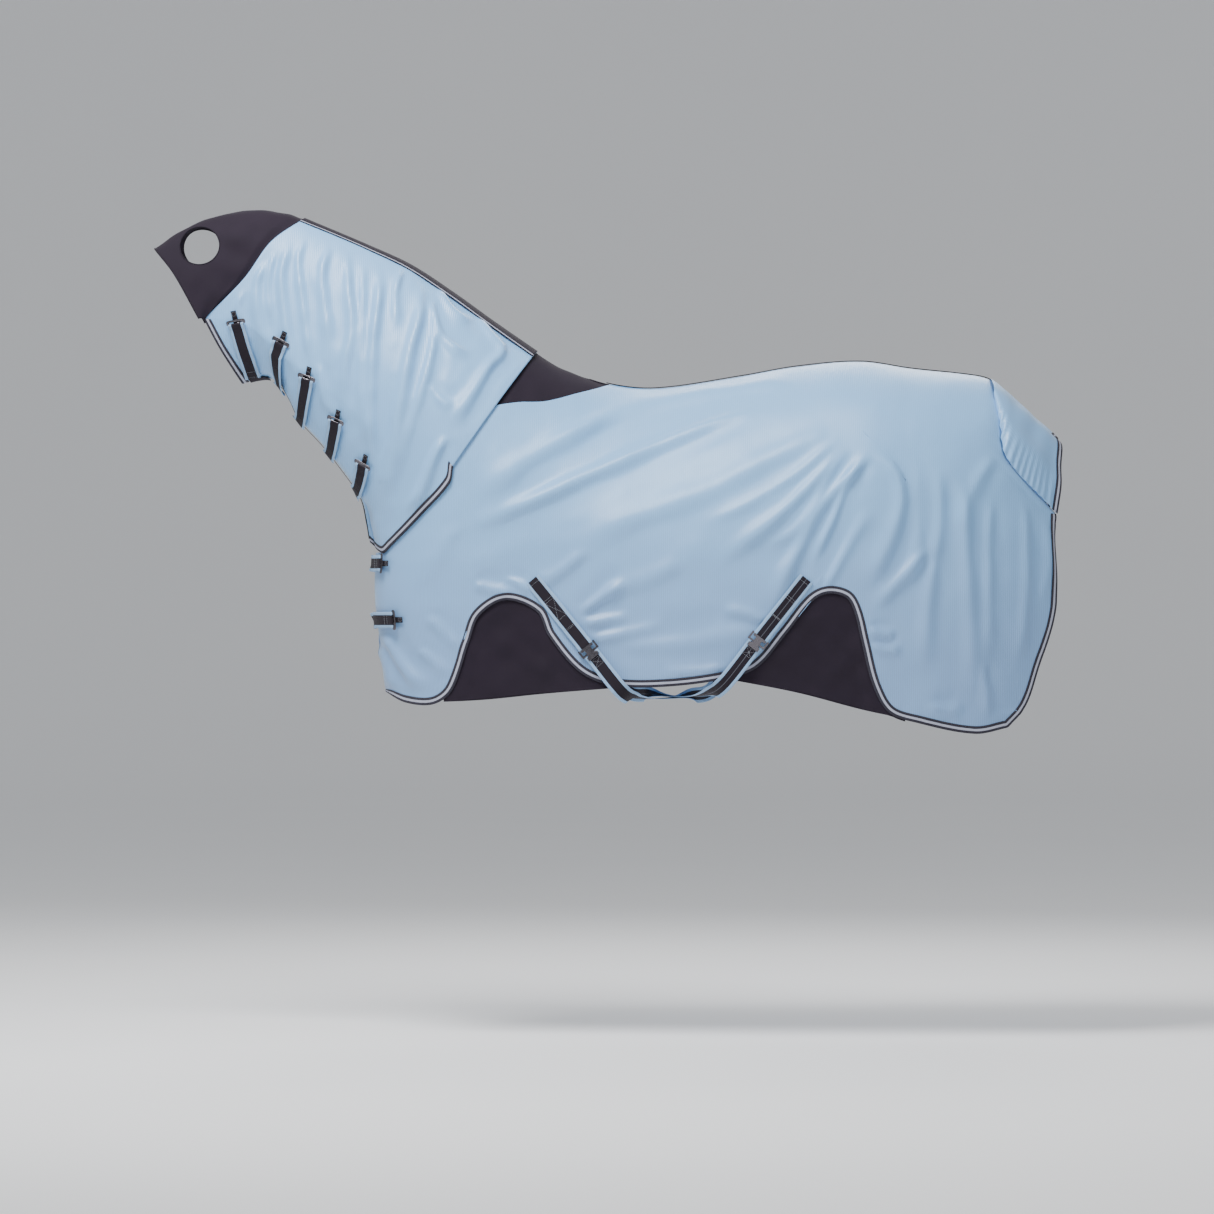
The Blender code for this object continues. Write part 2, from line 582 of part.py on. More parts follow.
def under_neck_pieces():
    grid = [[neck_point(u, v, LEFT) for v in shares(11, 0.925, 1.075)] for u in shares(7, 0.045, 0.125)]
    cloth("throat_band", grid, Vector((0, 0, -1)), "stretch", thickness=TAPE, lift=NECK_TRIM_LIFT + LAYER_GAP)
    reach = 0.5 * UNDER_NECK_BINDING_WIDTH / NECK_WIDTH
    grid = [[neck_point(u, v, RIGHT) for v in (0.985 - reach, 0.985)] for u in shares(26, 0.165, 0.975)]
    cloth("under_neck_binding", grid, Vector((0, 1, -1)), "binding", thickness=TAPE, lift=NECK_TRIM_LIFT)


# ---------------------------------------------------------------- hardware
def turned_frame(along, normal):
    """Across, along and normal as a square frame."""
    along = along.normalized()
    across = along.cross(normal).normalized()
    return across, along, across.cross(along).normalized()


def wire_loop(name, centre, across, along, width):
    """A loop of round wire, a rectangle with round corners, lying in the plane of its two directions."""
    corner = 0.5 * LOOP_DEPTH - 0.001
    normal = across.cross(along)
    path = []
    for number, (sign_x, sign_y) in enumerate(((1, 1), (-1, 1), (-1, -1), (1, -1))):
        middle = Vector((sign_x * (0.5 * width - corner), sign_y * (0.5 * LOOP_DEPTH - corner)))
        for angle in (15.0, 45.0, 75.0):
            turn = math.radians(angle + 90.0 * number)
            path.append((middle + corner * Vector((math.cos(turn), math.sin(turn))), turn))
    build = bmesh.new()
    rings = []
    for place, turn in path:
        out = across * math.cos(turn) + along * math.sin(turn)
        point = centre + across * place.x + along * place.y
        rings.append([build.verts.new(point + out * (WIRE * math.cos(math.tau * k / 6))
                                      + normal * (WIRE * math.sin(math.tau * k / 6))) for k in range(6)])
    for ring, after in zip(rings, rings[1:] + rings[:1]):
        for k in range(6):
            build.faces.new((ring[k], after[k], after[(k + 1) % 6], ring[(k + 1) % 6]))
    return closed_object(name, build, "nickel")


def closed_object(name, build, finish):
    bmesh.ops.recalc_face_normals(build, faces=build.faces)
    mesh = bpy.data.meshes.new(name)
    build.to_mesh(mesh)
    build.free()
    return add_object(name, mesh, finish)


def ring_plate(name, centre, axes, sizes, hole):
    """A block with a hole straight through along its third axis."""
    build = bmesh.new()
    loops = []
    for height in (0.5, -0.5):
        for size_a, size_b in ((sizes[0], sizes[1]), hole):
            corners = ((0.5, 0.5), (-0.5, 0.5), (-0.5, -0.5), (0.5, -0.5))
            loops.append([build.verts.new(centre + axes[0] * (a * size_a) + axes[1] * (b * size_b)
                                          + axes[2] * (height * sizes[2])) for a, b in corners])
    outer_top, inner_top, outer_low, inner_low = loops
    for first, second in ((outer_top, inner_top), (outer_low, inner_low), (outer_top, outer_low),
                          (inner_top, inner_low)):
        for k in range(4):
            after = (k + 1) % 4
            build.faces.new((first[k], first[after], second[after], second[k]))
    return closed_object(name, build, "nickel")


def flat_outline(name, centre, across, along, normal, outline, thickness):
    """A flat outline in (across, along) with a thickness."""
    build = bmesh.new()
    skins = []
    for height in (0.5 * thickness, -0.5 * thickness):
        skins.append([build.verts.new(centre + across * a + along * b + normal * height) for a, b in outline])
        build.faces.new(skins[-1])
    for k in range(len(outline)):
        after = (k + 1) % len(outline)
        build.faces.new((skins[0][k], skins[0][after], skins[1][after], skins[1][k]))
    return closed_object(name, build, "nickel")


def hinge_empty(name, place, axis, pieces):
    """An empty on the joint's axis, its own Z along it, that carries the pieces of the moving body."""
    empty = bpy.data.objects.new(name, None)
    bpy.context.scene.collection.objects.link(empty)
    empty.rotation_mode = "QUATERNION"
    empty.rotation_quaternion = Vector(axis).to_track_quat("Z", "Y")
    empty.location = place
    bpy.context.view_layer.update()
    for piece in pieces:
        piece.parent = empty
        piece.matrix_parent_inverse = empty.matrix_world.inverted()
    return empty


# ---------------------------------------------------------------- webbing
def loop_and_tab(stem, number, end, along, normal, thickness_lift):
    """The wire loop at a strap's end, and the narrow webbing under it that it hooks on to."""
    across, along, normal = turned_frame(along, normal)
    centre = end + along * (0.5 * LOOP_DEPTH + WIRE + 0.0004)
    loop = wire_loop(stem + "_loop" + number, centre, across, along, WEB_WIDTH + 2.0 * LOOP_OVERHANG)
    low = centre - normal * (thickness_lift - CATCH_LIFT) - along * (0.5 * LOOP_DEPTH)
    points = [low + along * (LOOP_TAB_LENGTH * t) for t in shares(3)]
    grid = strip_grid(points, [normal] * 3, -0.5 * LOOP_TAB_WIDTH, 0.5 * LOOP_TAB_WIDTH)
    cloth(stem + "_catch" + number, grid, normal, "webbing", thickness=TAPE)
    return loop


def neck_tabs():
    for number, (lower, upper, sewn) in enumerate(NECK_TABS, 1):
        grade = Vector((BACK_LENGTH / PATTERN_BACK_LENGTH, SIDE_DROP / PATTERN_SIDE_DROP))
        start_u = neck_place(lower[0] * grade.x, lower[1] * grade.y)[0]
        end_u, end_v = neck_place(upper[0] * grade.x, upper[1] * grade.y)
        path = [(start_u + (end_u - start_u) * t, sewn + (end_v - sewn) * t) for t in shares(10)]
        normals = [neck_normal(u, v, LEFT) if v <= 1.0 else neck_normal(u, 2.0 - v, RIGHT) for u, v in path]
        points = [neck_point(u, v, LEFT) + normal * TAB_LIFT for (u, v), normal in zip(path, normals)]
        grid = strip_grid(points, normals, -0.5 * WEB_WIDTH, 0.5 * WEB_WIDTH)
        tab = cloth(f"neck_tab_{number}", grid, normals[-1], "webbing", thickness=WEB_THICKNESS)
        loop = loop_and_tab("neck_tab", f"_{number}", points[-1], points[-1] - points[-2], normals[-1], TAB_LIFT)
        axis = (points[1] - points[0]).cross(normals[0]).normalized()
        hinge_empty(f"neck_tab_{number}_hinge", points[0], axis, (tab, loop))


def chest_straps():
    for word, height, reach_left in CHEST_STRAPS:
        z = height * SIDE_DROP / PATTERN_SIDE_DROP
        points, normals = [], []
        for s in shares(15, -1.0, 1.0):
            side, reach = (LEFT, reach_left) if s < 0.0 else (RIGHT, CHEST_STRAP_ROOT)
            x = chest_front(z) + reach * s * s
            normal = body_normal(x, z, side) if s * s > 1e-6 else Vector((-1, 0, 0))
            point = on_body(x, z, side) if s * s > 1e-6 else Vector((x, 0, z))
            points.append(point + normal * TAB_LIFT)
            normals.append(normal)
        points.reverse()
        normals.reverse()
        grid = strip_grid(points, normals, -0.5 * WEB_WIDTH, 0.5 * WEB_WIDTH)
        strap = cloth(f"chest_strap_{word}", grid, Vector((-1, 0, 0)), "webbing", thickness=WEB_THICKNESS)
        loop = loop_and_tab("chest", f"_{word}", points[-1], points[-1] - points[-2], normals[-1], TAB_LIFT)
        hinge_empty(f"chest_strap_{word}_hinge", points[0], (0, 0, -1), (strap, loop))


def surcingle_line(ends, side):
    """The straight line of a surcingle's sewn webbing, its direction and its normal."""
    grade = Vector((BACK_LENGTH / PATTERN_BACK_LENGTH, SIDE_DROP / PATTERN_SIDE_DROP))
    top, low = (Vector((x * grade.x, z * grade.y)) for x, z in ends)
    normal = (body_normal(top.x, top.y, side) + body_normal(low.x, low.y, side)).normalized()
    start = on_body(top.x, top.y, side) + normal * SEWN_LIFT
    end = on_body(low.x, low.y, side) + normal * STRAP_LIFT
    across, along, normal = turned_frame(end - start, normal)
    return start, end, across, along, normal


def surcingles():
    """The webbing sewn on each side, the slotted plates on the left, the sliders on the right."""
    for word, side in SIDES:
        for place, ends in (SURCINGLE_LEFT if side == LEFT else SURCINGLE_RIGHT).items():
            start, end, across, along, normal = surcingle_line(ends, side)
            points = [start.lerp(end, t) for t in shares(4)]
            grid = strip_grid(points, [normal] * 4, -0.5 * WEB_WIDTH, 0.5 * WEB_WIDTH)
            cloth(f"surcingle_{place}_{word}", grid, normal, "webbing", thickness=WEB_THICKNESS)
            if side == LEFT:
                centre = end + along * (0.5 * PLATE_DEPTH + 0.0006)
                width = WEB_WIDTH + 2.0 * PLATE_RIM
                ring_plate(f"{place}_plate", centre, (across, along, normal),
                           (width, PLATE_DEPTH, PLATE_THICKNESS), (WEB_WIDTH, PLATE_DEPTH - 2.0 * PLATE_RIM))
            else:
                room = WEB_WIDTH + 2.0 * SLIDER_CLEARANCE, WEB_THICKNESS + 2.0 * SLIDER_CLEARANCE
                sizes = room[0] + 2.0 * SLIDER_WALL, room[1] + 2.0 * SLIDER_WALL, SLIDER_DEPTH
                centre = end - along * (SLIDER_DEPTH + 0.004)
                slider = ring_plate(f"{place}_slider", centre, (across, normal, along), sizes, room)
                hinge_empty(f"{place}_slider_slide", centre, -along, (slider,))


def belly_straps():
    """Two straps that cross under the belly, from a hook on the left to the other webbing on the right."""
    low = BELLY_LOW * SIDE_DROP / PATTERN_SIDE_DROP
    for near, far, sign in (("front", "rear", -1.0), ("rear", "front", 1.0)):
        start, end, across, along, normal = surcingle_line(SURCINGLE_LEFT[near], LEFT)
        first = end + along * (PLATE_DEPTH + 0.0016)
        far_end, far_along, far_normal = (surcingle_line(SURCINGLE_RIGHT[far], RIGHT)[k] for k in (1, 3, 4))
        last = far_end + far_along * 0.001
        middle = 0.5 * (first + last)
        middle.y = 0.0
        middle.z = low + sign * STRAP_CROSS_GAP
        route = Outline()
        run_in = first + along * STRAP_RUN_IN
        run_out = last + far_along * STRAP_RUN_OUT
        turn_in = run_in.lerp(middle, 0.40)
        turn_out = run_out.lerp(middle, 0.40)
        turn_in.z = run_in.z + (middle.z - run_in.z) * 0.75
        turn_out.z = run_out.z + (middle.z - run_out.z) * 0.75
        route.add_run([first, run_in, turn_in, middle, turn_out, run_out, last])
        points = [route.at(t) for t in shares(30)]
        normals = strap_normals(points, normal, far_normal)
        grid = strip_grid(points, normals, -0.5 * WEB_WIDTH, 0.5 * WEB_WIDTH)
        strap = cloth(f"belly_strap_{near}", grid, Vector((0, 0, -1)), "webbing", thickness=WEB_THICKNESS)
        swing = hinge_empty(f"belly_strap_{near}_hinge", last, (1, 0, 0), (strap,))
        pivot = surcingle_hook(near, first, across, along, normal)
        pivot.parent = swing
        pivot.matrix_parent_inverse = swing.matrix_world.inverted()


def strap_normals(points, first, last):
    """Outward normals of a strap under the belly: they turn from one side, through down, to the other."""
    normals = []
    count = len(points) - 1
    for i, point in enumerate(points):
        t = i / count
        near = first if t < 0.5 else last
        share = smooth((0.5 - abs(t - 0.5) - 0.185) / 0.22)
        guess = near * (1.0 - share) + Vector((0, 0, -1)) * share
        along = (points[min(i + 1, count)] - points[max(i - 1, 0)]).normalized()
        normals.append((guess - along * guess.dot(along)).normalized())
    return normals


def surcingle_hook(place, strap_end, across, along, normal):
    """Flat T-hook on a belly strap's end, on its own pivot. Its bar lies over the slotted plate."""
    base = 0.013
    bar_half = 0.5 * WEB_WIDTH - 0.002
    neck_half = 0.5 * HOOK_NECK_WIDTH
    top = HOOK_LENGTH - base
    outline = [(-0.016, -base), (0.016, -base), (0.016, -0.004), (neck_half, 0.0),
               (neck_half, top - HOOK_BAR_DEPTH), (bar_half, top - HOOK_BAR_DEPTH), (bar_half, top),
               (-bar_half, top), (-bar_half, top - HOOK_BAR_DEPTH), (-neck_half, top - HOOK_BAR_DEPTH),
               (-neck_half, 0.0), (-0.016, -0.004)]
    centre = strap_end + normal * (PLATE_THICKNESS + 1.5 * LAYER_GAP)
    hook = flat_outline(f"{place}_hook", centre, across, -along, normal, outline, PLATE_THICKNESS)
    pivot = centre + along * (base - 0.5 * PLATE_THICKNESS)
    return hinge_empty(f"{place}_hook_hinge", pivot, (-along).cross(normal), (hook,))


def clear_scene():
    for item in list(bpy.data.objects):
        bpy.data.objects.remove(item, do_unlink=True)


def main():
    clear_scene()
    body_panels()
    neck_panels()
    gussets()
    wither_panel()
    poll_hood()
    tail_flap()
    spine_tape()
    edge_bindings()
    neck_bindings()
    under_neck_pieces()
    neck_tabs()
    chest_straps()
    surcingles()
    belly_straps()


main()
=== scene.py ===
"""Horse fly sheet with neck cover and poll hood: its cloth, bindings, webbing, thread and metal.

Frame: metres, +Z up, the origin on the spine line at the withers, +X towards the tail and -Y the
wearer's left. The cloth is laid on one smooth form, pushed into its folds and given its thickness.
"""

import json
import math

import bmesh
import bpy
import numpy as np
from bpy.props import FloatProperty, FloatVectorProperty, PointerProperty
from bpy.types import Operator, Panel, PropertyGroup
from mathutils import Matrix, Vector
from mathutils.bvhtree import BVHTree

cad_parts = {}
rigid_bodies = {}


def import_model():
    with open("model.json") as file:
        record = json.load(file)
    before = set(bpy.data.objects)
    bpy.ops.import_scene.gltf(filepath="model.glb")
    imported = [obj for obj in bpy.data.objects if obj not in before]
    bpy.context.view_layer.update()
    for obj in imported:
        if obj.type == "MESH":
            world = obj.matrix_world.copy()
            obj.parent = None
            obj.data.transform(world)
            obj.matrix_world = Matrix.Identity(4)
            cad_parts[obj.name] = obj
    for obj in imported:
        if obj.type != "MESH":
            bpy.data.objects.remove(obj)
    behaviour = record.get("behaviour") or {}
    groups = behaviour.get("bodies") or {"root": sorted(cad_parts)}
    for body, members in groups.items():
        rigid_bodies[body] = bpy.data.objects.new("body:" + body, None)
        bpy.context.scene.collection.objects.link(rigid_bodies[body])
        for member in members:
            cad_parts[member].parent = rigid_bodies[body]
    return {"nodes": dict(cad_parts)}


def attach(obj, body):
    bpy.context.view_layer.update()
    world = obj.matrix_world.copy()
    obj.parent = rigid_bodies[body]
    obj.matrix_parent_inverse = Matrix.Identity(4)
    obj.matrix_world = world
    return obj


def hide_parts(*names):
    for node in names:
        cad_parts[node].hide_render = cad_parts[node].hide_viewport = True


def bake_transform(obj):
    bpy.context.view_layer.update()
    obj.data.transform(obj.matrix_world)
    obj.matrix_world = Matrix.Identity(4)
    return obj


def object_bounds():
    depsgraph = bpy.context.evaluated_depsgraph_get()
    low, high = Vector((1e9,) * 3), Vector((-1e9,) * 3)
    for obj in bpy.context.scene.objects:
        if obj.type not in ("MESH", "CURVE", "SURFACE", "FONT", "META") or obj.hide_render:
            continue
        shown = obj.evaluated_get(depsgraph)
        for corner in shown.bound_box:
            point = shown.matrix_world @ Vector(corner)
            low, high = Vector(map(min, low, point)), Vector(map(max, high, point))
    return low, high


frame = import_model()
CAD_BOX = [list(corner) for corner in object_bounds()]

bl_info = {
    "name": "Fly sheet maker",
    "version": (1, 0, 0),
    "blender": (4, 5, 0),
    "location": "3D View > Sidebar > Fly Sheet",
    "description": "Makes the cloth, bindings, webbing and metal of a horse fly sheet",
    "category": "Object",
}

# ---------------------------------------------------------------- sizes, in metres
BACK_LENGTH = 1.35
NECK_WIDTH = 0.23
HEAD_WIDTH = 0.21
EDGE_GAP = 0.0015   # each side's cloth stops this far short of the middle plane
SEAM_LAP = 0.012
BINDING_WIDTH = 0.017
WEB_WIDTH = 0.040
LOOP_TAB_WIDTH = 0.014
LOOP_TAB_LENGTH = 0.034
CATCH_LIFT = 0.0048   # lifts are measured from the form that the cloth lies on
WIRE = 0.0016
LOOP_DEPTH = 0.012
TAB_LIFT = 0.0092
STRAP_LIFT = 0.0105
SEWN_LIFT = 0.0038
PLATE_DEPTH = 0.022
BIB_STAND_OFF = 0.0073   # of the neck cover where it lies over the body panel
EAR_HOLE_CENTRE = (-0.898, 0.300)
EAR_HOLE_SIZE = (0.100, 0.096)
EAR_BRIDGE = 0.070
CLOTH = 0.0008
KNIT = 0.0007
HOOD_KNIT = 0.0009
CATCH_WEB = 0.0013
THROAT_KNIT = 0.0010
HOLLOW_DEPTH = 0.0034   # the cloth rests on the horse below this
GUSSET_LIFT, WITHERS_LIFT = -0.0034, -0.0026   # under the blue cloth, off the form
THROAT_BAND_LIFT = 0.0052
CREST_TAPE_LIFT, UNDER_TAPE_LIFT, SPINE_TAPE_LIFT = 0.0030, 0.0034, 0.0026
SPINE_TAPE_SIZE = (0.008, 0.0022)
EAR_HEM_RADIUS, BROW_HEM_RADIUS = 0.0016, 0.0022
HEM_STEP, TAPE_STEP = 0.004, 0.005
THREAD_INSET, THREAD_LIFT = 0.0025, 0.0019   # of the line of thread along a binding's inner edge
LOOP_RADIUS = WIRE + 0.0011
LOOP_BACK = 0.016   # webbing turned back under itself at a wire loop
METAL_EDGE = 0.0007
TAPE_WALL = 0.0006
TAPE_LAP = 0.0011   # half the gap that a binding closes over
TAPE_TURN = 0.0008   # how far a binding stands past the edge it covers
WEB = 0.0016
WEB_STEP = 0.004   # between the points along a piece of webbing
WEB_STAND_OFF = 0.0075
WIRE_CLEARANCE = 0.0004
BOX_INSET = 0.010   # stitched box, narrower than its webbing by this
SLOPE_STEP = 0.004   # a slope is read this far to each side of a place
SENSOR = 36.0   # width of the camera's sensor in millimetres
NECK_HOOD_SHARE, NECK_FLARE = 0.84, 0.32   # width at the hood, and what is added towards the body
LEFT, RIGHT = -1, 1
SIDES = (("left", LEFT), ("right", RIGHT))

# ---------------------------------------------------------------- outlines in side view, (x, z)
TOP_POINTS = [(-0.643, 0.370), (-0.477, 0.300), (-0.378, 0.254), (-0.271, 0.184), (-0.178, 0.117),
              (-0.068, 0.041), (0.0, 0.0), (0.114, -0.040), (0.230, -0.050), (0.445, -0.019),
              (0.577, 0.004), (0.735, 0.016), (0.857, -0.001), (1.012, -0.018), (1.054, -0.029),
              (1.109, -0.074), (1.207, -0.165), (1.26, -0.22)]
NECK_SEAM_POINTS = [(-0.068, 0.041), (-0.165, -0.097), (-0.271, -0.249)]
BIB_POINTS = [(-0.271, -0.249), (-0.279, -0.288), (-0.350, -0.366), (-0.428, -0.443), (-0.446, -0.456),
              (-0.480, -0.429)]
WITHER_EDGE_POINTS = [(-0.165, -0.097), (-0.11, -0.089), (-0.034, -0.084), (0.114, -0.040)]
NECKLINE_POINTS = [(-0.466, -0.457), (-0.4405, -0.4528), (-0.350, -0.356), (-0.271, -0.249)]
SPINE_POINTS = [(0.114, -0.040), (0.230, -0.050), (0.445, -0.019), (0.577, 0.004), (0.735, 0.016),
                (0.857, -0.001), (1.012, -0.018), (1.054, -0.029)]
HEM_POINTS = [(-0.440, -0.798), (-0.387, -0.823), (-0.318, -0.826), (-0.273, -0.791), (-0.232, -0.675),
              (-0.206, -0.610), (-0.141, -0.572), (-0.063, -0.601), (-0.034, -0.660), (0.041, -0.747),
              (0.120, -0.779), (0.246, -0.782), (0.392, -0.763), (0.469, -0.735), (0.540, -0.653),
              (0.604, -0.574), (0.642, -0.556), (0.687, -0.566), (0.707, -0.600), (0.726, -0.677),
              (0.753, -0.781), (0.791, -0.845), (0.860, -0.870), (1.000, -0.897), (1.084, -0.883)]
FRONT_POINTS = [(-0.466, -0.457), (-0.469, -0.490), (-0.467, -0.586), (-0.453, -0.695), (-0.440, -0.798)]
FLAP_SEAM_POINTS = [(1.054, -0.029), (1.062, -0.085), (1.070, -0.150), (1.084, -0.230), (1.207, -0.360)]
REAR_POINTS = [(1.207, -0.360), (1.205, -0.424), (1.210, -0.528), (1.200, -0.624), (1.162, -0.736),
               (1.128, -0.832), (1.084, -0.883)]
SHOULDER_ARCH = (0.075, 0.395)   # shares of the hem
FLANK_ARCH = (0.535, 0.875)
SHOULDER_GUSSET_FOOT = [(-0.330, -0.824), (-0.194, -0.817), (-0.047, -0.802), (0.120, -0.788)]
FLANK_GUSSET_FOOT = [(0.400, -0.766), (0.569, -0.799), (0.726, -0.840), (0.830, -0.862)]
UNDER_NECK_POINTS = [(-0.796, -0.036), (-0.762, -0.026), (-0.728, -0.024), (-0.700, -0.042),
                     (-0.678, -0.077), (-0.655, -0.125), (-0.600, -0.186), (-0.557, -0.240), (-0.503, -0.319),
                     (-0.488, -0.380), (-0.480, -0.429)]
HOOD_SEAM_POINTS = [(-0.643, 0.370), (-0.722, 0.310), (-0.788, 0.217), (-0.885, 0.119)]
THROAT_POINTS = [(-0.885, 0.119), (-0.846, 0.045), (-0.796, -0.036)]
HOOD_TOP_POINTS = [(-1.011, 0.293), (-0.930, 0.345), (-0.840, 0.378), (-0.750, 0.388), (-0.643, 0.370)]
HOOD_FRONT_POINTS = [(-1.011, 0.293), (-0.960, 0.230), (-0.897, 0.118)]
PLAN_POINTS = [(-0.52, 0.200), (-0.30, 0.222), (-0.10, 0.245), (0.15, 0.285), (0.45, 0.310),
               (0.75, 0.305), (0.95, 0.272), (1.10, 0.212), (1.24, 0.125)]
WITHER_ROUND, CROUP_ROUND = 0.45, 0.30
WITHER_SHARPNESS, CROUP_SHARPNESS = 0.75, 0.50
CHEST_ROUND, CHEST_SHARPNESS = 0.24, 0.42

# Each tab runs from its sewn end's place to its loop's, and is sewn at a v of the neck cover.
NECK_TABS = [((-0.782, 0.0), (-0.803, 0.104), 0.905), ((-0.704, -0.045), (-0.695, 0.052), 1.035),
             ((-0.656, -0.128), (-0.628, -0.034), 1.035), ((-0.580, -0.215), (-0.556, -0.138), 1.035),
             ((-0.508, -0.310), (-0.490, -0.246), 1.035)]
# Name, height, and how far back the left end lies.
CHEST_STRAPS = [("upper", -0.484, 0.024), ("lower", -0.622, 0.048)]
CHEST_STRAP_ROOT = 0.060
SURCINGLE_LEFT = {"front": ((-0.075, -0.525), (0.055, -0.685)), "rear": ((0.590, -0.523), (0.480, -0.662))}
SURCINGLE_RIGHT = {"front": ((-0.060, -0.523), (0.112, -0.742)), "rear": ((0.590, -0.523), (0.418, -0.742))}
BELLY_LOW = -0.815   # the height at which the belly straps cross
STRAP_RUN_IN, STRAP_RUN_OUT = 0.124, 0.074   # straight lengths at a belly strap's two ends
STRAP_CROSS_GAP = 0.0026

# ---------------------------------------------------------------- folds: height, width, line in side view
# A fold's hollow lies on the left of its line, seen from the sheet's left side.
NECK_FOLDS = [
    (0.0050, 0.014, [(-0.731, 0.270), (-0.755, 0.202), (-0.747, 0.106), (-0.731, 0.042)]),
    (0.0060, 0.015, [(-0.674, 0.314), (-0.694, 0.234), (-0.690, 0.162), (-0.674, 0.058), (-0.650, -0.055)]),
    (0.0045, 0.012, [(-0.634, 0.330), (-0.654, 0.266), (-0.642, 0.162), (-0.630, 0.066), (-0.618, -0.039)]),
    (0.0055, 0.014, [(-0.578, 0.306), (-0.594, 0.234), (-0.582, 0.122), (-0.570, 0.020)]),
    (0.0060, 0.014, [(-0.534, 0.290), (-0.530, 0.202), (-0.518, 0.098), (-0.534, -0.007), (-0.538, -0.119)]),
    (0.0085, 0.016, [(-0.458, 0.250), (-0.454, 0.178), (-0.466, 0.058), (-0.470, -0.119), (-0.466, -0.280)]),
    (0.0090, 0.020, [(-0.361, 0.226), (-0.353, 0.138), (-0.377, 0.025), (-0.401, -0.119), (-0.426, -0.280),
                     (-0.430, -0.408)]),
    (0.0075, 0.018, [(-0.337, 0.138), (-0.321, 0.058), (-0.353, -0.079), (-0.385, -0.199), (-0.401, -0.320)]),
    (0.0085, 0.014, [(-0.330, 0.172), (-0.308, 0.090), (-0.280, 0.052), (-0.225, 0.017)]),
    (0.0060, 0.012, [(-0.313, 0.202), (-0.273, 0.138), (-0.225, 0.106)]),
    (0.0060, 0.013, [(-0.217, 0.138), (-0.180, 0.080), (-0.153, 0.042), (-0.190, -0.020)]),
    (0.0075, 0.017, [(-0.281, -0.167), (-0.313, -0.223), (-0.353, -0.320), (-0.393, -0.368)]),
    (0.0065, 0.018, [(-0.165, 0.034), (-0.225, -0.071), (-0.281, -0.151)]),
    (0.0055, 0.013, [(-0.330, -0.045), (-0.300, -0.085), (-0.262, -0.105)]),
    (0.0045, 0.012, [(-0.401, 0.250), (-0.414, 0.178), (-0.409, 0.082)]),
    (0.0050, 0.014, [(-0.498, 0.266), (-0.494, 0.122), (-0.498, -0.039), (-0.482, -0.199)]),
    (0.0045, 0.010, [(-0.712, 0.290), (-0.728, 0.202), (-0.715, 0.082)]),
    (0.0040, 0.012, [(-0.600, 0.010), (-0.585, -0.080), (-0.560, -0.130)]),
    (0.0035, 0.010, [(-0.790, 0.190), (-0.800, 0.140), (-0.780, 0.060)]),
]
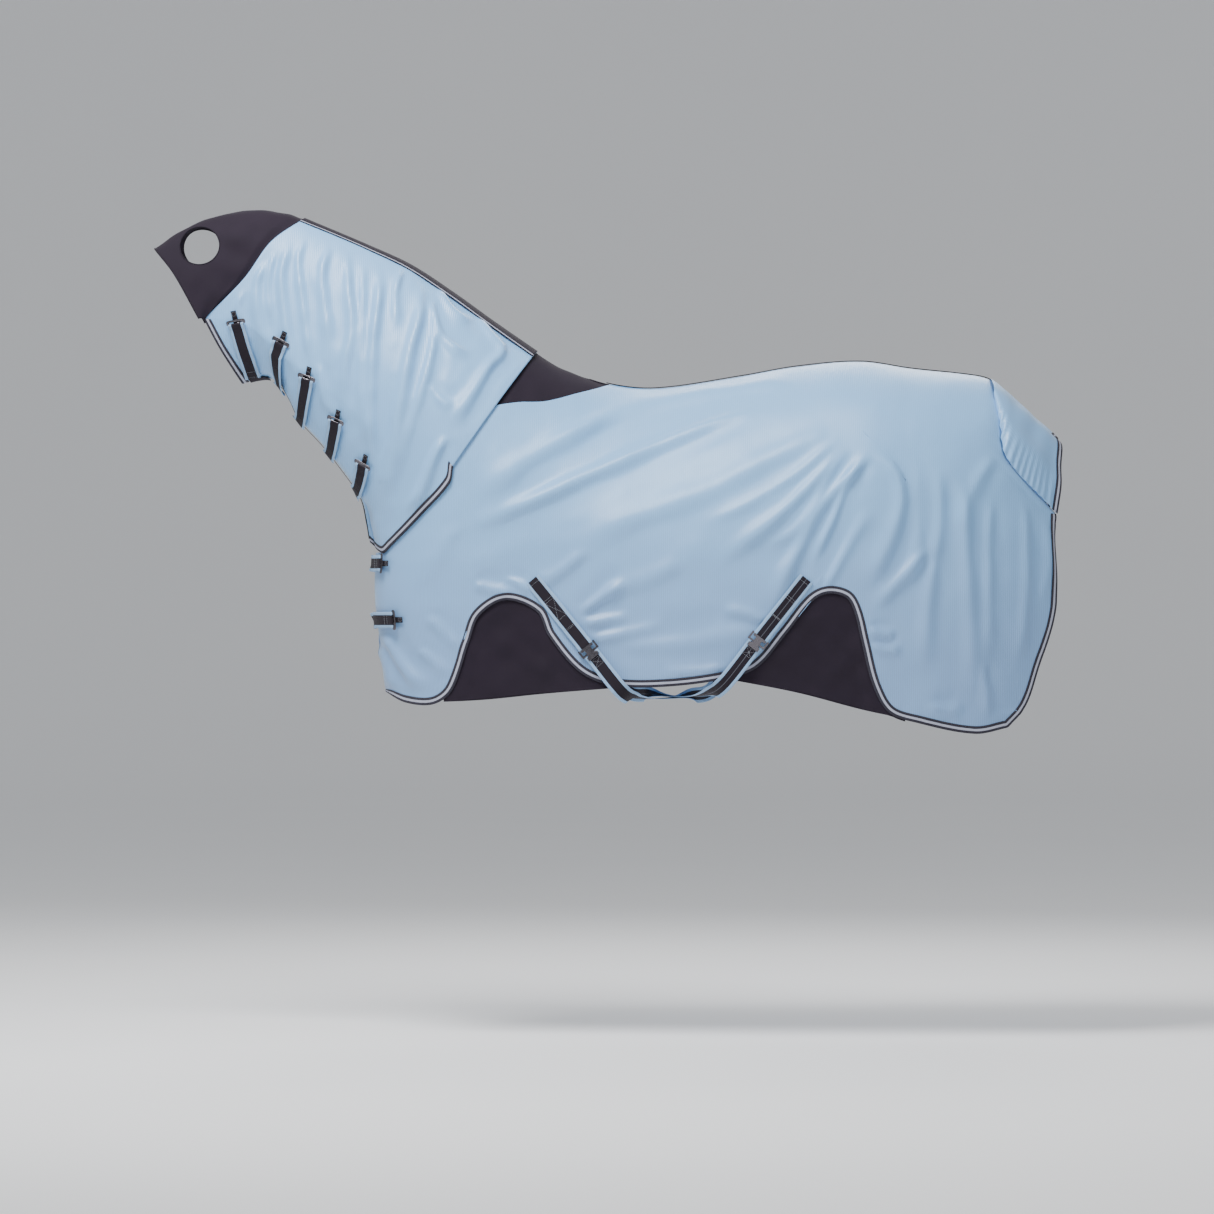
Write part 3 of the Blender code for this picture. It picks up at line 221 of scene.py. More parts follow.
BODY_FOLDS = [
    (0.0075, 0.030, [(0.144, -0.111), (-0.032, -0.199), (-0.225, -0.328)]),
    (0.0100, 0.022, [(0.482, -0.100), (0.385, -0.136), (0.241, -0.196), (0.100, -0.255), (-0.072, -0.330),
                     (-0.290, -0.420)]),
    (0.0045, 0.026, [(0.610, -0.033), (0.321, -0.065), (0.096, -0.129), (-0.040, -0.210)]),
    (0.0070, 0.034, [(0.682, -0.150), (0.562, -0.201), (0.337, -0.313), (0.120, -0.394), (-0.040, -0.490)]),
    (0.0060, 0.018, [(0.682, -0.169), (0.578, -0.257), (0.449, -0.338), (0.305, -0.402)]),
    (0.0065, 0.020, [(0.690, -0.177), (0.610, -0.281), (0.482, -0.402), (0.353, -0.498)]),
    (0.0050, 0.016, [(0.698, -0.193), (0.642, -0.281), (0.562, -0.402), (0.449, -0.466)]),
    (0.0085, 0.019, [(0.746, -0.209), (0.634, -0.338), (0.554, -0.482), (0.490, -0.620)]),
    (0.0080, 0.014, [(0.746, -0.217), (0.698, -0.281), (0.642, -0.402), (0.586, -0.514)]),
    (0.0070, 0.022, [(0.746, -0.215), (0.805, -0.262), (0.819, -0.338), (0.787, -0.442), (0.722, -0.562)]),
    (0.0055, 0.020, [(0.907, -0.241), (0.915, -0.370), (0.899, -0.482), (0.883, -0.602), (0.880, -0.760)]),
    (0.0060, 0.021, [(0.963, -0.257), (0.979, -0.402), (0.987, -0.562), (0.995, -0.723), (0.990, -0.840)]),
    (0.0060, 0.017, [(1.043, -0.305), (1.035, -0.402), (1.035, -0.643), (1.027, -0.780)]),
    (0.0055, 0.015, [(1.124, -0.321), (1.132, -0.482), (1.124, -0.643), (1.100, -0.760)]),
    (0.0065, 0.018, [(0.891, -0.442), (0.827, -0.514), (0.746, -0.602)]),
    (0.0050, 0.013, [(0.738, -0.640), (0.770, -0.655), (0.815, -0.660)]),
    (0.0050, 0.013, [(0.742, -0.683), (0.780, -0.694), (0.825, -0.692)]),
    (0.0045, 0.013, [(1.019, -0.723), (1.030, -0.800), (1.035, -0.867)]),
    (0.0040, 0.024, [(0.851, -0.225), (0.859, -0.402), (0.835, -0.562)]),
    (0.0045, 0.013, [(1.180, -0.370), (1.188, -0.482), (1.164, -0.602)]),
    (0.0045, 0.026, [(0.120, -0.690), (0.321, -0.675), (0.470, -0.640)]),
    (0.0050, 0.016, [(0.626, -0.565), (0.690, -0.442), (0.754, -0.338)]),
    (0.0040, 0.016, [(0.883, -0.827), (0.931, -0.843), (0.979, -0.835)]),
    (0.0075, 0.016, [(0.045, -0.632), (0.102, -0.622), (0.175, -0.612)]),
    (0.0075, 0.014, [(0.038, -0.608), (0.087, -0.571), (0.160, -0.525)]),
    (0.0060, 0.018, [(0.060, -0.672), (0.131, -0.658), (0.260, -0.632)]),
    (0.0050, 0.012, [(-0.150, -0.516), (-0.106, -0.534), (-0.075, -0.560)]),
    (0.0055, 0.014, [(0.500, -0.632), (0.438, -0.605), (0.380, -0.598)]),
    (0.0050, 0.016, [(0.400, -0.735), (0.329, -0.748), (0.230, -0.752)]),
    (0.0080, 0.018, [(-0.448, -0.650), (-0.395, -0.735), (-0.330, -0.800)]),
    (0.0060, 0.015, [(-0.458, -0.681), (-0.434, -0.745), (-0.418, -0.801)]),
    (0.0055, 0.016, [(-0.225, -0.535), (-0.170, -0.548), (-0.115, -0.556)]),
    (0.0055, 0.015, [(-0.340, -0.610), (-0.290, -0.655), (-0.245, -0.700)]),
    (0.0045, 0.014, [(-0.360, -0.690), (-0.310, -0.730), (-0.280, -0.760)]),
    (0.0050, 0.020, [(0.064, -0.448), (-0.032, -0.520), (-0.120, -0.540)]),
    (0.0035, 0.030, [(-0.250, -0.380), (-0.310, -0.470), (-0.350, -0.560)]),
    (0.0040, 0.028, [(0.300, -0.480), (0.180, -0.530), (0.060, -0.560)]),
    (0.0050, 0.020, [(1.055, -0.215), (1.000, -0.300), (0.960, -0.420)]),
]

SAMPLES = 260


# ---------------------------------------------------------------- lines and the form
def run_lengths(points):
    """How far along a line of points each of them lies."""
    return np.concatenate(([0.0], np.cumsum(np.linalg.norm(np.diff(points, axis=0), axis=1))))


def read_off(places, lengths, values):
    """Values known at some lengths along a line, read off at other places."""
    return np.stack([np.interp(places, lengths, column) for column in values.T], axis=-1)


def shares(first, second):
    """A grid of two shares, each from its (low, high, count)."""
    return np.meshgrid(np.linspace(*first), np.linspace(*second), indexing="ij")


class Line:
    """A smooth line through points. Several runs end to end keep a corner where they meet."""

    def __init__(self, *runs, samples=SAMPLES):
        marks, places = [], []
        start = 0.0
        for run in runs:
            points = np.array(run, float)
            knots = run_lengths(points)
            low = np.maximum(np.arange(len(points)) - 1, 0)
            high = np.minimum(np.arange(len(points)) + 1, len(points) - 1)
            slopes = (points[high] - points[low]) / (knots[high] - knots[low])[:, None]
            place = np.linspace(0.0, knots[-1], samples)
            i = np.clip(np.searchsorted(knots, place, side="right") - 1, 0, len(points) - 2)
            width = (knots[i + 1] - knots[i])[:, None]
            t = (place - knots[i])[:, None] / width
            rise = t * t * (3.0 - 2.0 * t)
            curve = points[i] * (1.0 - rise) + points[i + 1] * rise
            curve += slopes[i] * width * t * (1.0 - t) ** 2 - slopes[i + 1] * width * t * t * (1.0 - t)
            marks.append(start + place)
            places.append(curve)
            start += knots[-1]
        self.length = start
        self.marks = np.concatenate(marks) / start
        self.places = np.concatenate(places)

    def at(self, share):
        return read_off(np.clip(share, 0.0, 1.0), self.marks, self.places)

    def share_at(self, value, axis=0):
        """The share of the line where one of its coordinates has a value. The line runs one way there."""
        column, marks = self.places[:, axis], self.marks
        if column[-1] < column[0]:
            column, marks = column[::-1], marks[::-1]
        return np.interp(value, column, marks)


TOP = Line(TOP_POINTS)
PLAN = Line(PLAN_POINTS)
TOP_EDGE = Line(NECKLINE_POINTS, NECK_SEAM_POINTS[::-1][:2], WITHER_EDGE_POINTS, SPINE_POINTS)
HEM = Line(HEM_POINTS, samples=900)
FRONT = Line(FRONT_POINTS)
REAR = Line(FLAP_SEAM_POINTS, REAR_POINTS)
CREST = Line(TOP_POINTS[:6])
UNDER_NECK = Line(UNDER_NECK_POINTS)
NECK_FRONT = Line(HOOD_SEAM_POINTS, THROAT_POINTS)
NECK_REAR = Line(NECK_SEAM_POINTS, BIB_POINTS)
HOOD_TOP = Line(HOOD_TOP_POINTS)
HOOD_FRONT = Line(HOOD_FRONT_POINTS)
HOOD_REAR = Line(HOOD_SEAM_POINTS)
FLAP_SEAM_SHARE = Line(FLAP_SEAM_POINTS).length / REAR.length
FLAP_HINGE_SHARE = 0.06
FLAP_TIP_X = 1.216
FLAP_BULGE = 0.008
NECK_FRONT_HOOD_SHARE = HOOD_REAR.length / NECK_FRONT.length


def smooth(t):
    t = np.clip(t, 0.0, 1.0)
    return t * t * (3.0 - 2.0 * t)


def eased(t, soft):
    raw = np.where(t < soft, t * t / (2.0 * soft), t - 0.5 * soft)
    return raw / (1.0 - 0.5 * soft)


def chest_front(z):
    return FRONT.at(FRONT.share_at(z, 1))[..., 0]


def half_width(x, z, chest_round=True):
    """Half-width of the barrel's form at a place in side view."""
    width = PLAN.at(PLAN.share_at(x))[..., 1]
    back = smooth((x - TOP.at(0.4)[0]) / (BACK_LENGTH * 0.75))
    depth = WITHER_ROUND + (CROUP_ROUND - WITHER_ROUND) * back
    sharpness = WITHER_SHARPNESS + (CROUP_SHARPNESS - WITHER_SHARPNESS) * back
    drop = (TOP.at(TOP.share_at(x))[..., 1] - z) / depth
    over = 1.0 - (1.0 - np.clip(drop, 0.0, 1.0)) ** 2
    half = width * over ** sharpness
    if chest_round:
        reach = (x - chest_front(z)) / CHEST_ROUND
        half = half * (1.0 - (1.0 - np.clip(reach, 0.0, 1.0)) ** 2) ** CHEST_SHARPNESS
    return np.maximum(half, EDGE_GAP)


def on_body(x, z, side):
    return np.stack([x, side * half_width(x, z), z], axis=-1)


def unit(vectors):
    return vectors / np.maximum(np.linalg.norm(vectors, axis=-1, keepdims=True), 1e-12)


def body_normal(x, z, side):
    across = (half_width(x + SLOPE_STEP, z) - half_width(x - SLOPE_STEP, z)) / (2.0 * SLOPE_STEP)
    down = (half_width(x, z + SLOPE_STEP) - half_width(x, z - SLOPE_STEP)) / (2.0 * SLOPE_STEP)
    return unit(np.stack([-across, side * np.ones_like(across), -down], axis=-1))


def coons(u, v, top, foot, front, rear):
    """Points inside four edge lines. front and rear hold the line's start, points and end."""
    u, v = u[..., None], v[..., None]
    corners = (1.0 - u) * (1.0 - v) * front[0] + u * (1.0 - v) * rear[0]
    corners = corners + (1.0 - u) * v * front[2] + u * v * rear[2]
    return (1.0 - v) * top + v * foot + (1.0 - u) * front[1] + u * rear[1] - corners


def ends_and_points(line, share):
    return line.at(0.0), line.at(share), line.at(1.0)


def body_place(u, v):
    """Side-view places on the body panel: u from chest to tail, v from the top edge to the hem."""
    foot = HEM.at(eased(u, 0.12))
    down = eased(v, 0.35)
    share = (foot[..., 0] - HEM.at(0.0)[0]) / (HEM.at(1.0)[0] - HEM.at(0.0)[0])
    start, end = TOP_EDGE.at(0.0)[0], TOP_EDGE.at(1.0)[0]
    top = TOP_EDGE.at(TOP_EDGE.share_at(start + share * (end - start)))
    return coons(share, down, top, foot, ends_and_points(FRONT, down), ends_and_points(REAR, down))


def neck_point(u, v, side):
    """Points on the neck cover: u from hood to body, v from the crest (0) to the underside (1)."""
    side = np.where((v > 1.0) | (v < 0.0), -side, side)
    v = np.abs(np.where(v > 1.0, 2.0 - v, v))
    turn = 0.5 * (1.0 - np.cos(math.pi * v))
    rear = ends_and_points(NECK_REAR, turn)
    place = coons(u, turn, CREST.at(u), UNDER_NECK.at(u), ends_and_points(NECK_FRONT, turn), rear)
    bow = np.sin(math.pi * v)
    half = 0.5 * NECK_WIDTH * (NECK_HOOD_SHARE + NECK_FLARE * np.sin(0.5 * math.pi * u)) * bow
    base = half_width(rear[1][..., 0], rear[1][..., 1]) + BIB_STAND_OFF * np.minimum(4.0 * bow, 1.0)
    share = smooth(u)
    y = side * np.maximum((1.0 - share) * half + share * base, EDGE_GAP)
    return np.stack([place[..., 0], y, place[..., 1]], axis=-1)


def hood_point(u, v, side):
    """Points on the poll hood: u from the brow to the neck seam, v from the top line down to the cheek."""
    side = np.where(v < 0.0, -side, side)
    v = np.abs(v)
    turn = 1.0 - np.cos(0.5 * math.pi * v)
    front = ends_and_points(HOOD_FRONT, turn)
    rear = ends_and_points(HOOD_REAR, turn)
    foot = front[2] * (1.0 - u[..., None]) + rear[2] * u[..., None]
    place = coons(u, turn, HOOD_TOP.at(u), foot, front, rear)
    seam_v = np.arccos(1.0 - 2.0 * NECK_FRONT_HOOD_SHARE * turn) / math.pi
    seam_half = 0.5 * NECK_WIDTH * NECK_HOOD_SHARE * np.sin(math.pi * seam_v)
    brow_half = 0.5 * HEAD_WIDTH * np.sin(0.5 * math.pi * v) ** 0.8
    half = brow_half + (seam_half - brow_half) * smooth(u)
    return np.stack([place[..., 0], side * half, place[..., 1]], axis=-1)


def flap_point(across, along):
    """Points on the tail flap: across from -1 (left) to 1 (right), along from croup to free edge."""
    side = np.where(across < 0.0, LEFT, RIGHT)
    turn = np.abs(across) * 0.5 * math.pi
    seam = REAR.at(FLAP_HINGE_SHARE + (FLAP_SEAM_SHARE - FLAP_HINGE_SHARE) * along)
    croup = REAR.at(0.0)[0]
    crown = TOP.at(TOP.share_at(croup + (FLAP_TIP_X - croup) * along))
    fall = 1.0 - np.cos(turn)
    x = crown[..., 0] + (seam[..., 0] - crown[..., 0]) * fall + FLAP_BULGE * along * np.sin(2.0 * turn)
    z = crown[..., 1] + (seam[..., 1] - crown[..., 1]) * fall
    y = side * (half_width(seam[..., 0], seam[..., 1]) + 0.002) * np.sin(turn)
    return np.stack([x, y, z], axis=-1)


# ---------------------------------------------------------------- folds
def line_distance(x, z, line):
    """Signed distance of places to a line in side view, and how far along it each lies, from 0 to 1."""
    points = Line(line, samples=15).places
    steps = np.diff(points, axis=0)
    lengths = np.linalg.norm(steps, axis=1)
    starts = run_lengths(points)
    best = np.full(x.shape, 1e9)
    signed = np.zeros(x.shape)
    along = np.zeros(x.shape)
    for point, step, length, start in zip(points, steps, lengths, starts):
        dx, dz = x - point[0], z - point[1]
        t = np.clip((dx * step[0] + dz * step[1]) / length ** 2, 0.0, 1.0)
        far = np.hypot(dx - t * step[0], dz - t * step[1])
        closer = far < best
        turn = np.sign(step[0] * dz - step[1] * dx)
        signed = np.where(closer, far * turn, signed)
        along = np.where(closer, (start + t * length) / starts[-1], along)
        best = np.where(closer, far, best)
    return signed, along


def ripple(x, z, seed, wavelength, height, count=14):
    """Small soft unevenness of cloth: a few waves in chance directions, the same on each run."""
    draw = np.random.default_rng(seed)
    total = np.zeros(np.broadcast(x, z).shape)
    for _ in range(count):
        angle = draw.uniform(0.0, math.pi)
        number = math.tau / (wavelength * draw.uniform(0.7, 1.6))
        way = x * math.cos(angle) + z * math.sin(angle)
        total += np.sin(number * way + draw.uniform(0.0, math.tau))
    return total * height / math.sqrt(count)


def soft_floor(lift):
    """Hollows level out softly where the cloth would rest on the horse."""
    hollow = -HOLLOW_DEPTH * (1.0 - np.exp(np.minimum(lift, 0.0) / HOLLOW_DEPTH))
    return np.where(lift < 0.0, hollow, lift)


def fold_height(x, z, folds, side, strength):
    total = np.zeros(np.broadcast(x, z).shape)
    draw = np.random.default_rng(11 if side == LEFT else 12)
    for height, width, line in folds:
        share, shift = draw.uniform(0.75, 1.15), draw.uniform(-0.012, 0.012)
        if side == LEFT:
            share, shift = 1.0, 0.0
        far, along = line_distance(x - shift, z, line)
        spread = width * (0.62 + 0.55 * along)
        ridge = np.exp(-(far / spread) ** 2)
        hollow = np.exp(-((far / spread - 1.75) / 1.25) ** 2)
        fade = smooth(along / 0.22) * smooth((1.0 - along) / 0.30)
        total += share * height * fade * (ridge - 0.55 * hollow)
    return total * strength


def near_line(x, z, line, reach):
    """1 on a line in side view, fading to 0 at a distance from it."""
    far, _ = line_distance(x, z, line)
    return 1.0 - smooth(np.abs(far) / reach)


def calm_along(x, z, lines):
    """How far folds are flattened by seams and webbing, given as (share, line, reach)."""
    return np.max([share * near_line(x, z, line, reach) for share, line, reach in lines], axis=0)


def body_lift(x, z, side):
    """How far the body panel's cloth stands off the form."""
    lift = fold_height(x, z, BODY_FOLDS, side, settings().body_folds)
    lift += ripple(x, z, 3, 0.16, 0.0016) + ripple(x, z, 4, 0.045, 0.00022)
    straps = SURCINGLE_LEFT if side == LEFT else SURCINGLE_RIGHT
    chest = [(-0.466, -0.49), (-0.452, -0.62)]
    calm = calm_along(x, z, ((1.0, straps["front"], 0.034), (1.0, straps["rear"], 0.034),
                             (1.0, NECK_SEAM_POINTS + BIB_POINTS[1:-1], 0.060), (0.8, chest, 0.05)))
    edge = np.abs(z - HEM.at(HEM.share_at(x))[..., 1])
    lift = lift * (1.0 - 0.85 * calm)
    spine = smooth((TOP.at(TOP.share_at(x))[..., 1] - z) / 0.03)
    lift = soft_floor(lift) * (0.15 + 0.85 * spine)
    pucker = near_line(x, z, FLAP_SEAM_POINTS[2:], 0.045)
    lift += 0.0016 * pucker * np.sin(190.0 * (x + z)) * smooth((x - 1.02) / 0.03)
    low = -0.0012 * (1.0 - smooth((edge - 0.01) / 0.03))
    return np.where(edge < 0.04, np.maximum(lift, low), lift)


def neck_lift(x, z, side):
    """How far the neck cover's cloth stands off its form."""
    lift = fold_height(x, z, NECK_FOLDS, side, settings().neck_folds)
    lift += ripple(x, z, 5, 0.09, 0.0010) + ripple(x, z, 6, 0.035, 0.00020)
    tabs = ((0.8, [lower, upper], 0.036) for lower, upper, _ in NECK_TABS)
    calm = calm_along(x, z, ((0.75, HOOD_SEAM_POINTS + THROAT_POINTS[1:], 0.028),
                             (0.9, TOP_POINTS[:6], 0.030),
                             (0.8, NECK_SEAM_POINTS + BIB_POINTS[1:], 0.030),
                             (0.8, UNDER_NECK_POINTS, 0.035), *tabs))
    return soft_floor(lift * (1.0 - calm))


# ---------------------------------------------------------------- meshes
def grid_normals(grid, outward):
    along = np.gradient(grid, axis=0)
    across = np.gradient(grid, axis=1)
    normals = unit(np.cross(along, across))
    return normals if np.sum(normals @ np.array(outward, float)) > 0.0 else -normals


def add_mesh(name, points, faces, uvs=None):
    mesh = bpy.data.meshes.new(name)
    mesh.from_pydata(points.reshape(-1, 3).tolist(), [], faces.tolist())
    if uvs is not None:
        layer = mesh.uv_layers.new(name="flat")
        corners = np.empty(len(mesh.loops), int)
        mesh.loops.foreach_get("vertex_index", corners)
        layer.data.foreach_set("uv", uvs.reshape(-1, 2)[corners].ravel())
    mesh.shade_smooth()
    mesh.update()
    made = bpy.data.objects.new(name, mesh)
    bpy.context.scene.collection.objects.link(made)
    return made


def grid_faces(rows, columns, close_columns=False):
    across = np.arange(columns if close_columns else columns - 1)
    i, j = np.meshgrid(np.arange(rows - 1), across, indexing="ij")
    here, below, after = i * columns, (i + 1) * columns, (j + 1) % columns
    return np.stack([here + j, below + j, below + after, here + after], -1).reshape(-1, 4)


def edit_mesh(piece, change):
    """Opens a piece's mesh, changes it, turns its faces outwards and writes it back."""
    build = bmesh.new()
    build.from_mesh(piece.data)
    change(build)
    bmesh.ops.recalc_face_normals(build, faces=build.faces)
    build.to_mesh(piece.data)
    build.free()


def apply_modifier(piece, kind, **values):
    changed = piece.modifiers.new(kind.title(), kind)
    for name, value in values.items():
        setattr(changed, name, value)
    bpy.ops.object.select_all(action="DESELECT")
    piece.select_set(True)
    bpy.context.view_layer.objects.active = piece
    bpy.ops.object.modifier_apply(modifier=changed.name)


def sheet_object(name, grid, outward, uvs, thickness):
    """A cloth panel from a grid of points, with its faces turned outwards and its own thickness."""
    faces = grid_faces(*grid.shape[:2])
    across = np.cross(np.gradient(grid, axis=0), np.gradient(grid, axis=1))
    if np.sum(across @ np.array(outward, float)) < 0.0:
        faces = faces[:, ::-1]
    piece = add_mesh(name, grid, faces, uvs)
    apply_modifier(piece, "SOLIDIFY", thickness=thickness, offset=0.0)
    return piece


def grid_size(grid):
    width = np.linalg.norm(np.diff(grid, axis=0), axis=-1).sum(axis=0).max()
    length = np.linalg.norm(np.diff(grid, axis=1), axis=-1).sum(axis=1).max()
    return float(width), float(length)


def declare(grid, foot_width=False):
    """Works out the size that the panel was cut to, its flat width and length, but passes it nowhere.

    A panel with an arched top is as wide as its foot.
    """
    width, length = grid_size(grid)
    if foot_width:
        width = float(np.linalg.norm(np.diff(grid[:, -1], axis=0), axis=-1).sum())
    width, length = round(width, 2) + 0.01, round(length, 2) + 0.01


def finish_piece(piece, finish, slot, body, *nodes):
    piece.data.materials.clear()
    piece.data.materials.append(finish)
    if nodes:
        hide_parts(*nodes)
    if body:
        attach(piece, body)
    return piece


def band_object(name, centre, sideways, normals, profile):
    """A tape or webbing: one closed cross-section, (sideways, lift) in metres, swept along points.

    The map holds the length along the band and the share of its width.
    """
    profile = np.array(profile, float)
    rows, columns = len(centre), len(profile)
    points = centre[:, None, :] + sideways[:, None, :] * profile[None, :, :1]
    points = points + normals[:, None, :] * profile[None, :, 1:]
    low, high = profile[:, 0].min(), profile[:, 0].max()
    share = (profile[:, 0] - low) / (high - low)
    uvs = np.stack(np.broadcast_arrays(run_lengths(centre)[:, None], share[None, :]), axis=-1)
    piece = add_mesh(name, points, grid_faces(rows, columns, close_columns=True), uvs)

    def close_ends(build):
        build.verts.ensure_lookup_table()
        layer = build.loops.layers.uv.active
        for row in (0, rows - 1):
            cap = build.faces.new([build.verts[row * columns + j] for j in range(columns)])
            for corner in cap.loops:
                corner[layer].uv = uvs[row, corner.vert.index - row * columns]

    edit_mesh(piece, close_ends)
    piece.data.shade_smooth()
    return piece


def web_profile(width, thickness, edge=0.0006, count=9):
    """Cross-section of webbing: flat faces, rounded selvedges and a slight crown."""
    half = 0.5 * width
    across = np.linspace(-1.0, 1.0, count)
    crown = 0.5 * thickness * (1.0 - 0.10 * across ** 2)
    top = [(half * a - np.sign(a) * edge * (abs(a) > 0.99), c) for a, c in zip(across, crown)]
    low = [(x, -z) for x, z in top[::-1]]
    return top + [(half, 0.0)] + low + [(-half, 0.0)]


def band_frame(points, normals):
    along = unit(np.gradient(points, axis=0))
    sideways = unit(np.cross(along, normals))
    return along, sideways, unit(np.cross(sideways, along))


def resample(points, spacing):
    """Evenly spaced points on a line, and each one's share along it."""
    lengths = run_lengths(points)
    places = np.linspace(0.0, lengths[-1], max(int(lengths[-1] / spacing) + 1, 3))
    return read_off(places, lengths, points), places / lengths[-1]


def web_object(name, points, normals, width=WEB_WIDTH, thickness=WEB):
    _, sideways, normals = band_frame(points, normals)
    return band_object(name, points, sideways, normals, web_profile(width, thickness))


def tape_object(name, grid, outward, lift, thickness=0.0009):
    """A flat tape laid on a surface: a grid of points on it, lifted off and given its thickness."""
    normals = grid_normals(grid, outward)
    lengths = np.concatenate((np.zeros((1, grid.shape[1])),
                              np.cumsum(np.linalg.norm(np.diff(grid, axis=0), axis=-1), axis=0)))
    share = np.broadcast_to(np.linspace(0.0, 1.0, grid.shape[1])[None, :], lengths.shape)
    return sheet_object(name, grid + normals * lift, outward, np.stack([lengths, share], -1), thickness)


def stitches(name, lines, finish, body, spacing=0.0044, length=0.0032, radius=0.00042):
    """Sewing thread: one small grain for each stitch, along lines given as (points, normals)."""
    all_points, all_faces = [], []
    grain = np.array([(0, 2, 4), (2, 1, 4), (1, 3, 4), (3, 0, 4),
                      (2, 0, 5), (1, 2, 5), (3, 1, 5), (0, 3, 5)])
    for points, normals in lines:
        lengths = run_lengths(points)
        places = np.arange(0.5 * spacing, lengths[-1], spacing)
        if not len(places):
            continue
        centre = read_off(places, lengths, points)
        normal = unit(read_off(places, lengths, normals))
        along = unit(read_off(places, lengths, np.gradient(points, axis=0)))
        sideways = unit(np.cross(along, normal))
        corners = [centre + sign * size for size in (along * 0.5 * length, sideways * radius, normal * radius)
                   for sign in (1.0, -1.0)]
        start = sum(len(part) for part in all_points)
        all_points.append(np.stack(corners, axis=1).reshape(-1, 3))
        first = start + 6 * np.arange(len(places))
        all_faces.append((first[:, None, None] + grain[None]).reshape(-1, 3))
    piece = add_mesh(name, np.concatenate(all_points), np.concatenate(all_faces))
    return finish_piece(piece, finish, "webbing", body)


# ---------------------------------------------------------------- finishes
def settings():
    return bpy.context.scene.fly_sheet_looks


def new_finish(name, colour, roughness, metallic=0.0, sheen=0.0):
    """A material and its parts: the node tree, the shader and a way to add and join nodes."""
    made = bpy.data.materials.new(name)
    made.use_nodes = True
    tree = made.node_tree
    shader = tree.nodes["Principled BSDF"]
    shader.inputs["Base Color"].default_value = (*colour, 1.0)
    shader.inputs["Roughness"].default_value = roughness
    shader.inputs["Metallic"].default_value = metallic
    shader.inputs["Sheen Weight"].default_value = sheen
    shader.inputs["Sheen Roughness"].default_value = 0.45
    made.diffuse_color = (*colour, 1.0)
    return made, tree, shader


def add_node(tree, kind, links=(), **values):
    node = tree.nodes.new("ShaderNode" + kind)
    for name, value in values.items():
        if hasattr(node, name):
            setattr(node, name, value)
        else:
            node.inputs[name.replace("_", " ").title()].default_value = value
    for socket, source in dict(links).items():
        tree.links.new(source, node.inputs[socket])
    return node


def maths(tree, operation, first, second=0.0):
    node = tree.nodes.new("ShaderNodeMath")
    node.operation = operation
    for socket, value in zip(node.inputs, (first, second)):
        if isinstance(value, (int, float)):
            socket.default_value = value
        else:
            tree.links.new(value, socket)
    return node.outputs[0]


def mixed(tree, share, first, second):
    """Two colours mixed by a share. Each is a colour or a socket."""
    node = tree.nodes.new("ShaderNodeMix")
    node.data_type = "RGBA"
    for socket, value in ((node.inputs[0], share), (node.inputs[6], first), (node.inputs[7], second)):
        if isinstance(value, bpy.types.NodeSocket):
            tree.links.new(value, socket)
        elif isinstance(value, float):
            socket.default_value = value
        else:
            socket.default_value = (*value, 1.0)
    return node.outputs[2]


def noise(tree, vector, scale, detail=3.0, roughness=0.55):
    node = add_node(tree, "TexNoise", {"Vector": vector}, scale=scale, detail=detail, roughness=roughness)
    return node.outputs["Fac"]


def waves(tree, value, pitch):
    """A smooth wave from 0 to 1 that repeats every pitch metres of a value."""
    turn = maths(tree, "MULTIPLY", value, math.tau / pitch)
    return maths(tree, "ADD", maths(tree, "MULTIPLY", maths(tree, "SINE", turn), 0.5), 0.5)


def bump(tree, shader, height, distance, strength=1.0):
    node = add_node(tree, "Bump", {"Height": height}, distance=distance, strength=strength)
    tree.links.new(node.outputs["Normal"], shader.inputs["Normal"])


def flat_map(tree):
    """The piece's own map in metres, and its two parts."""
    node = add_node(tree, "UVMap", uv_map="flat")
    parts = add_node(tree, "SeparateXYZ", {"Vector": node.outputs["UV"]})
    return node.outputs["UV"], parts.outputs["X"], parts.outputs["Y"]


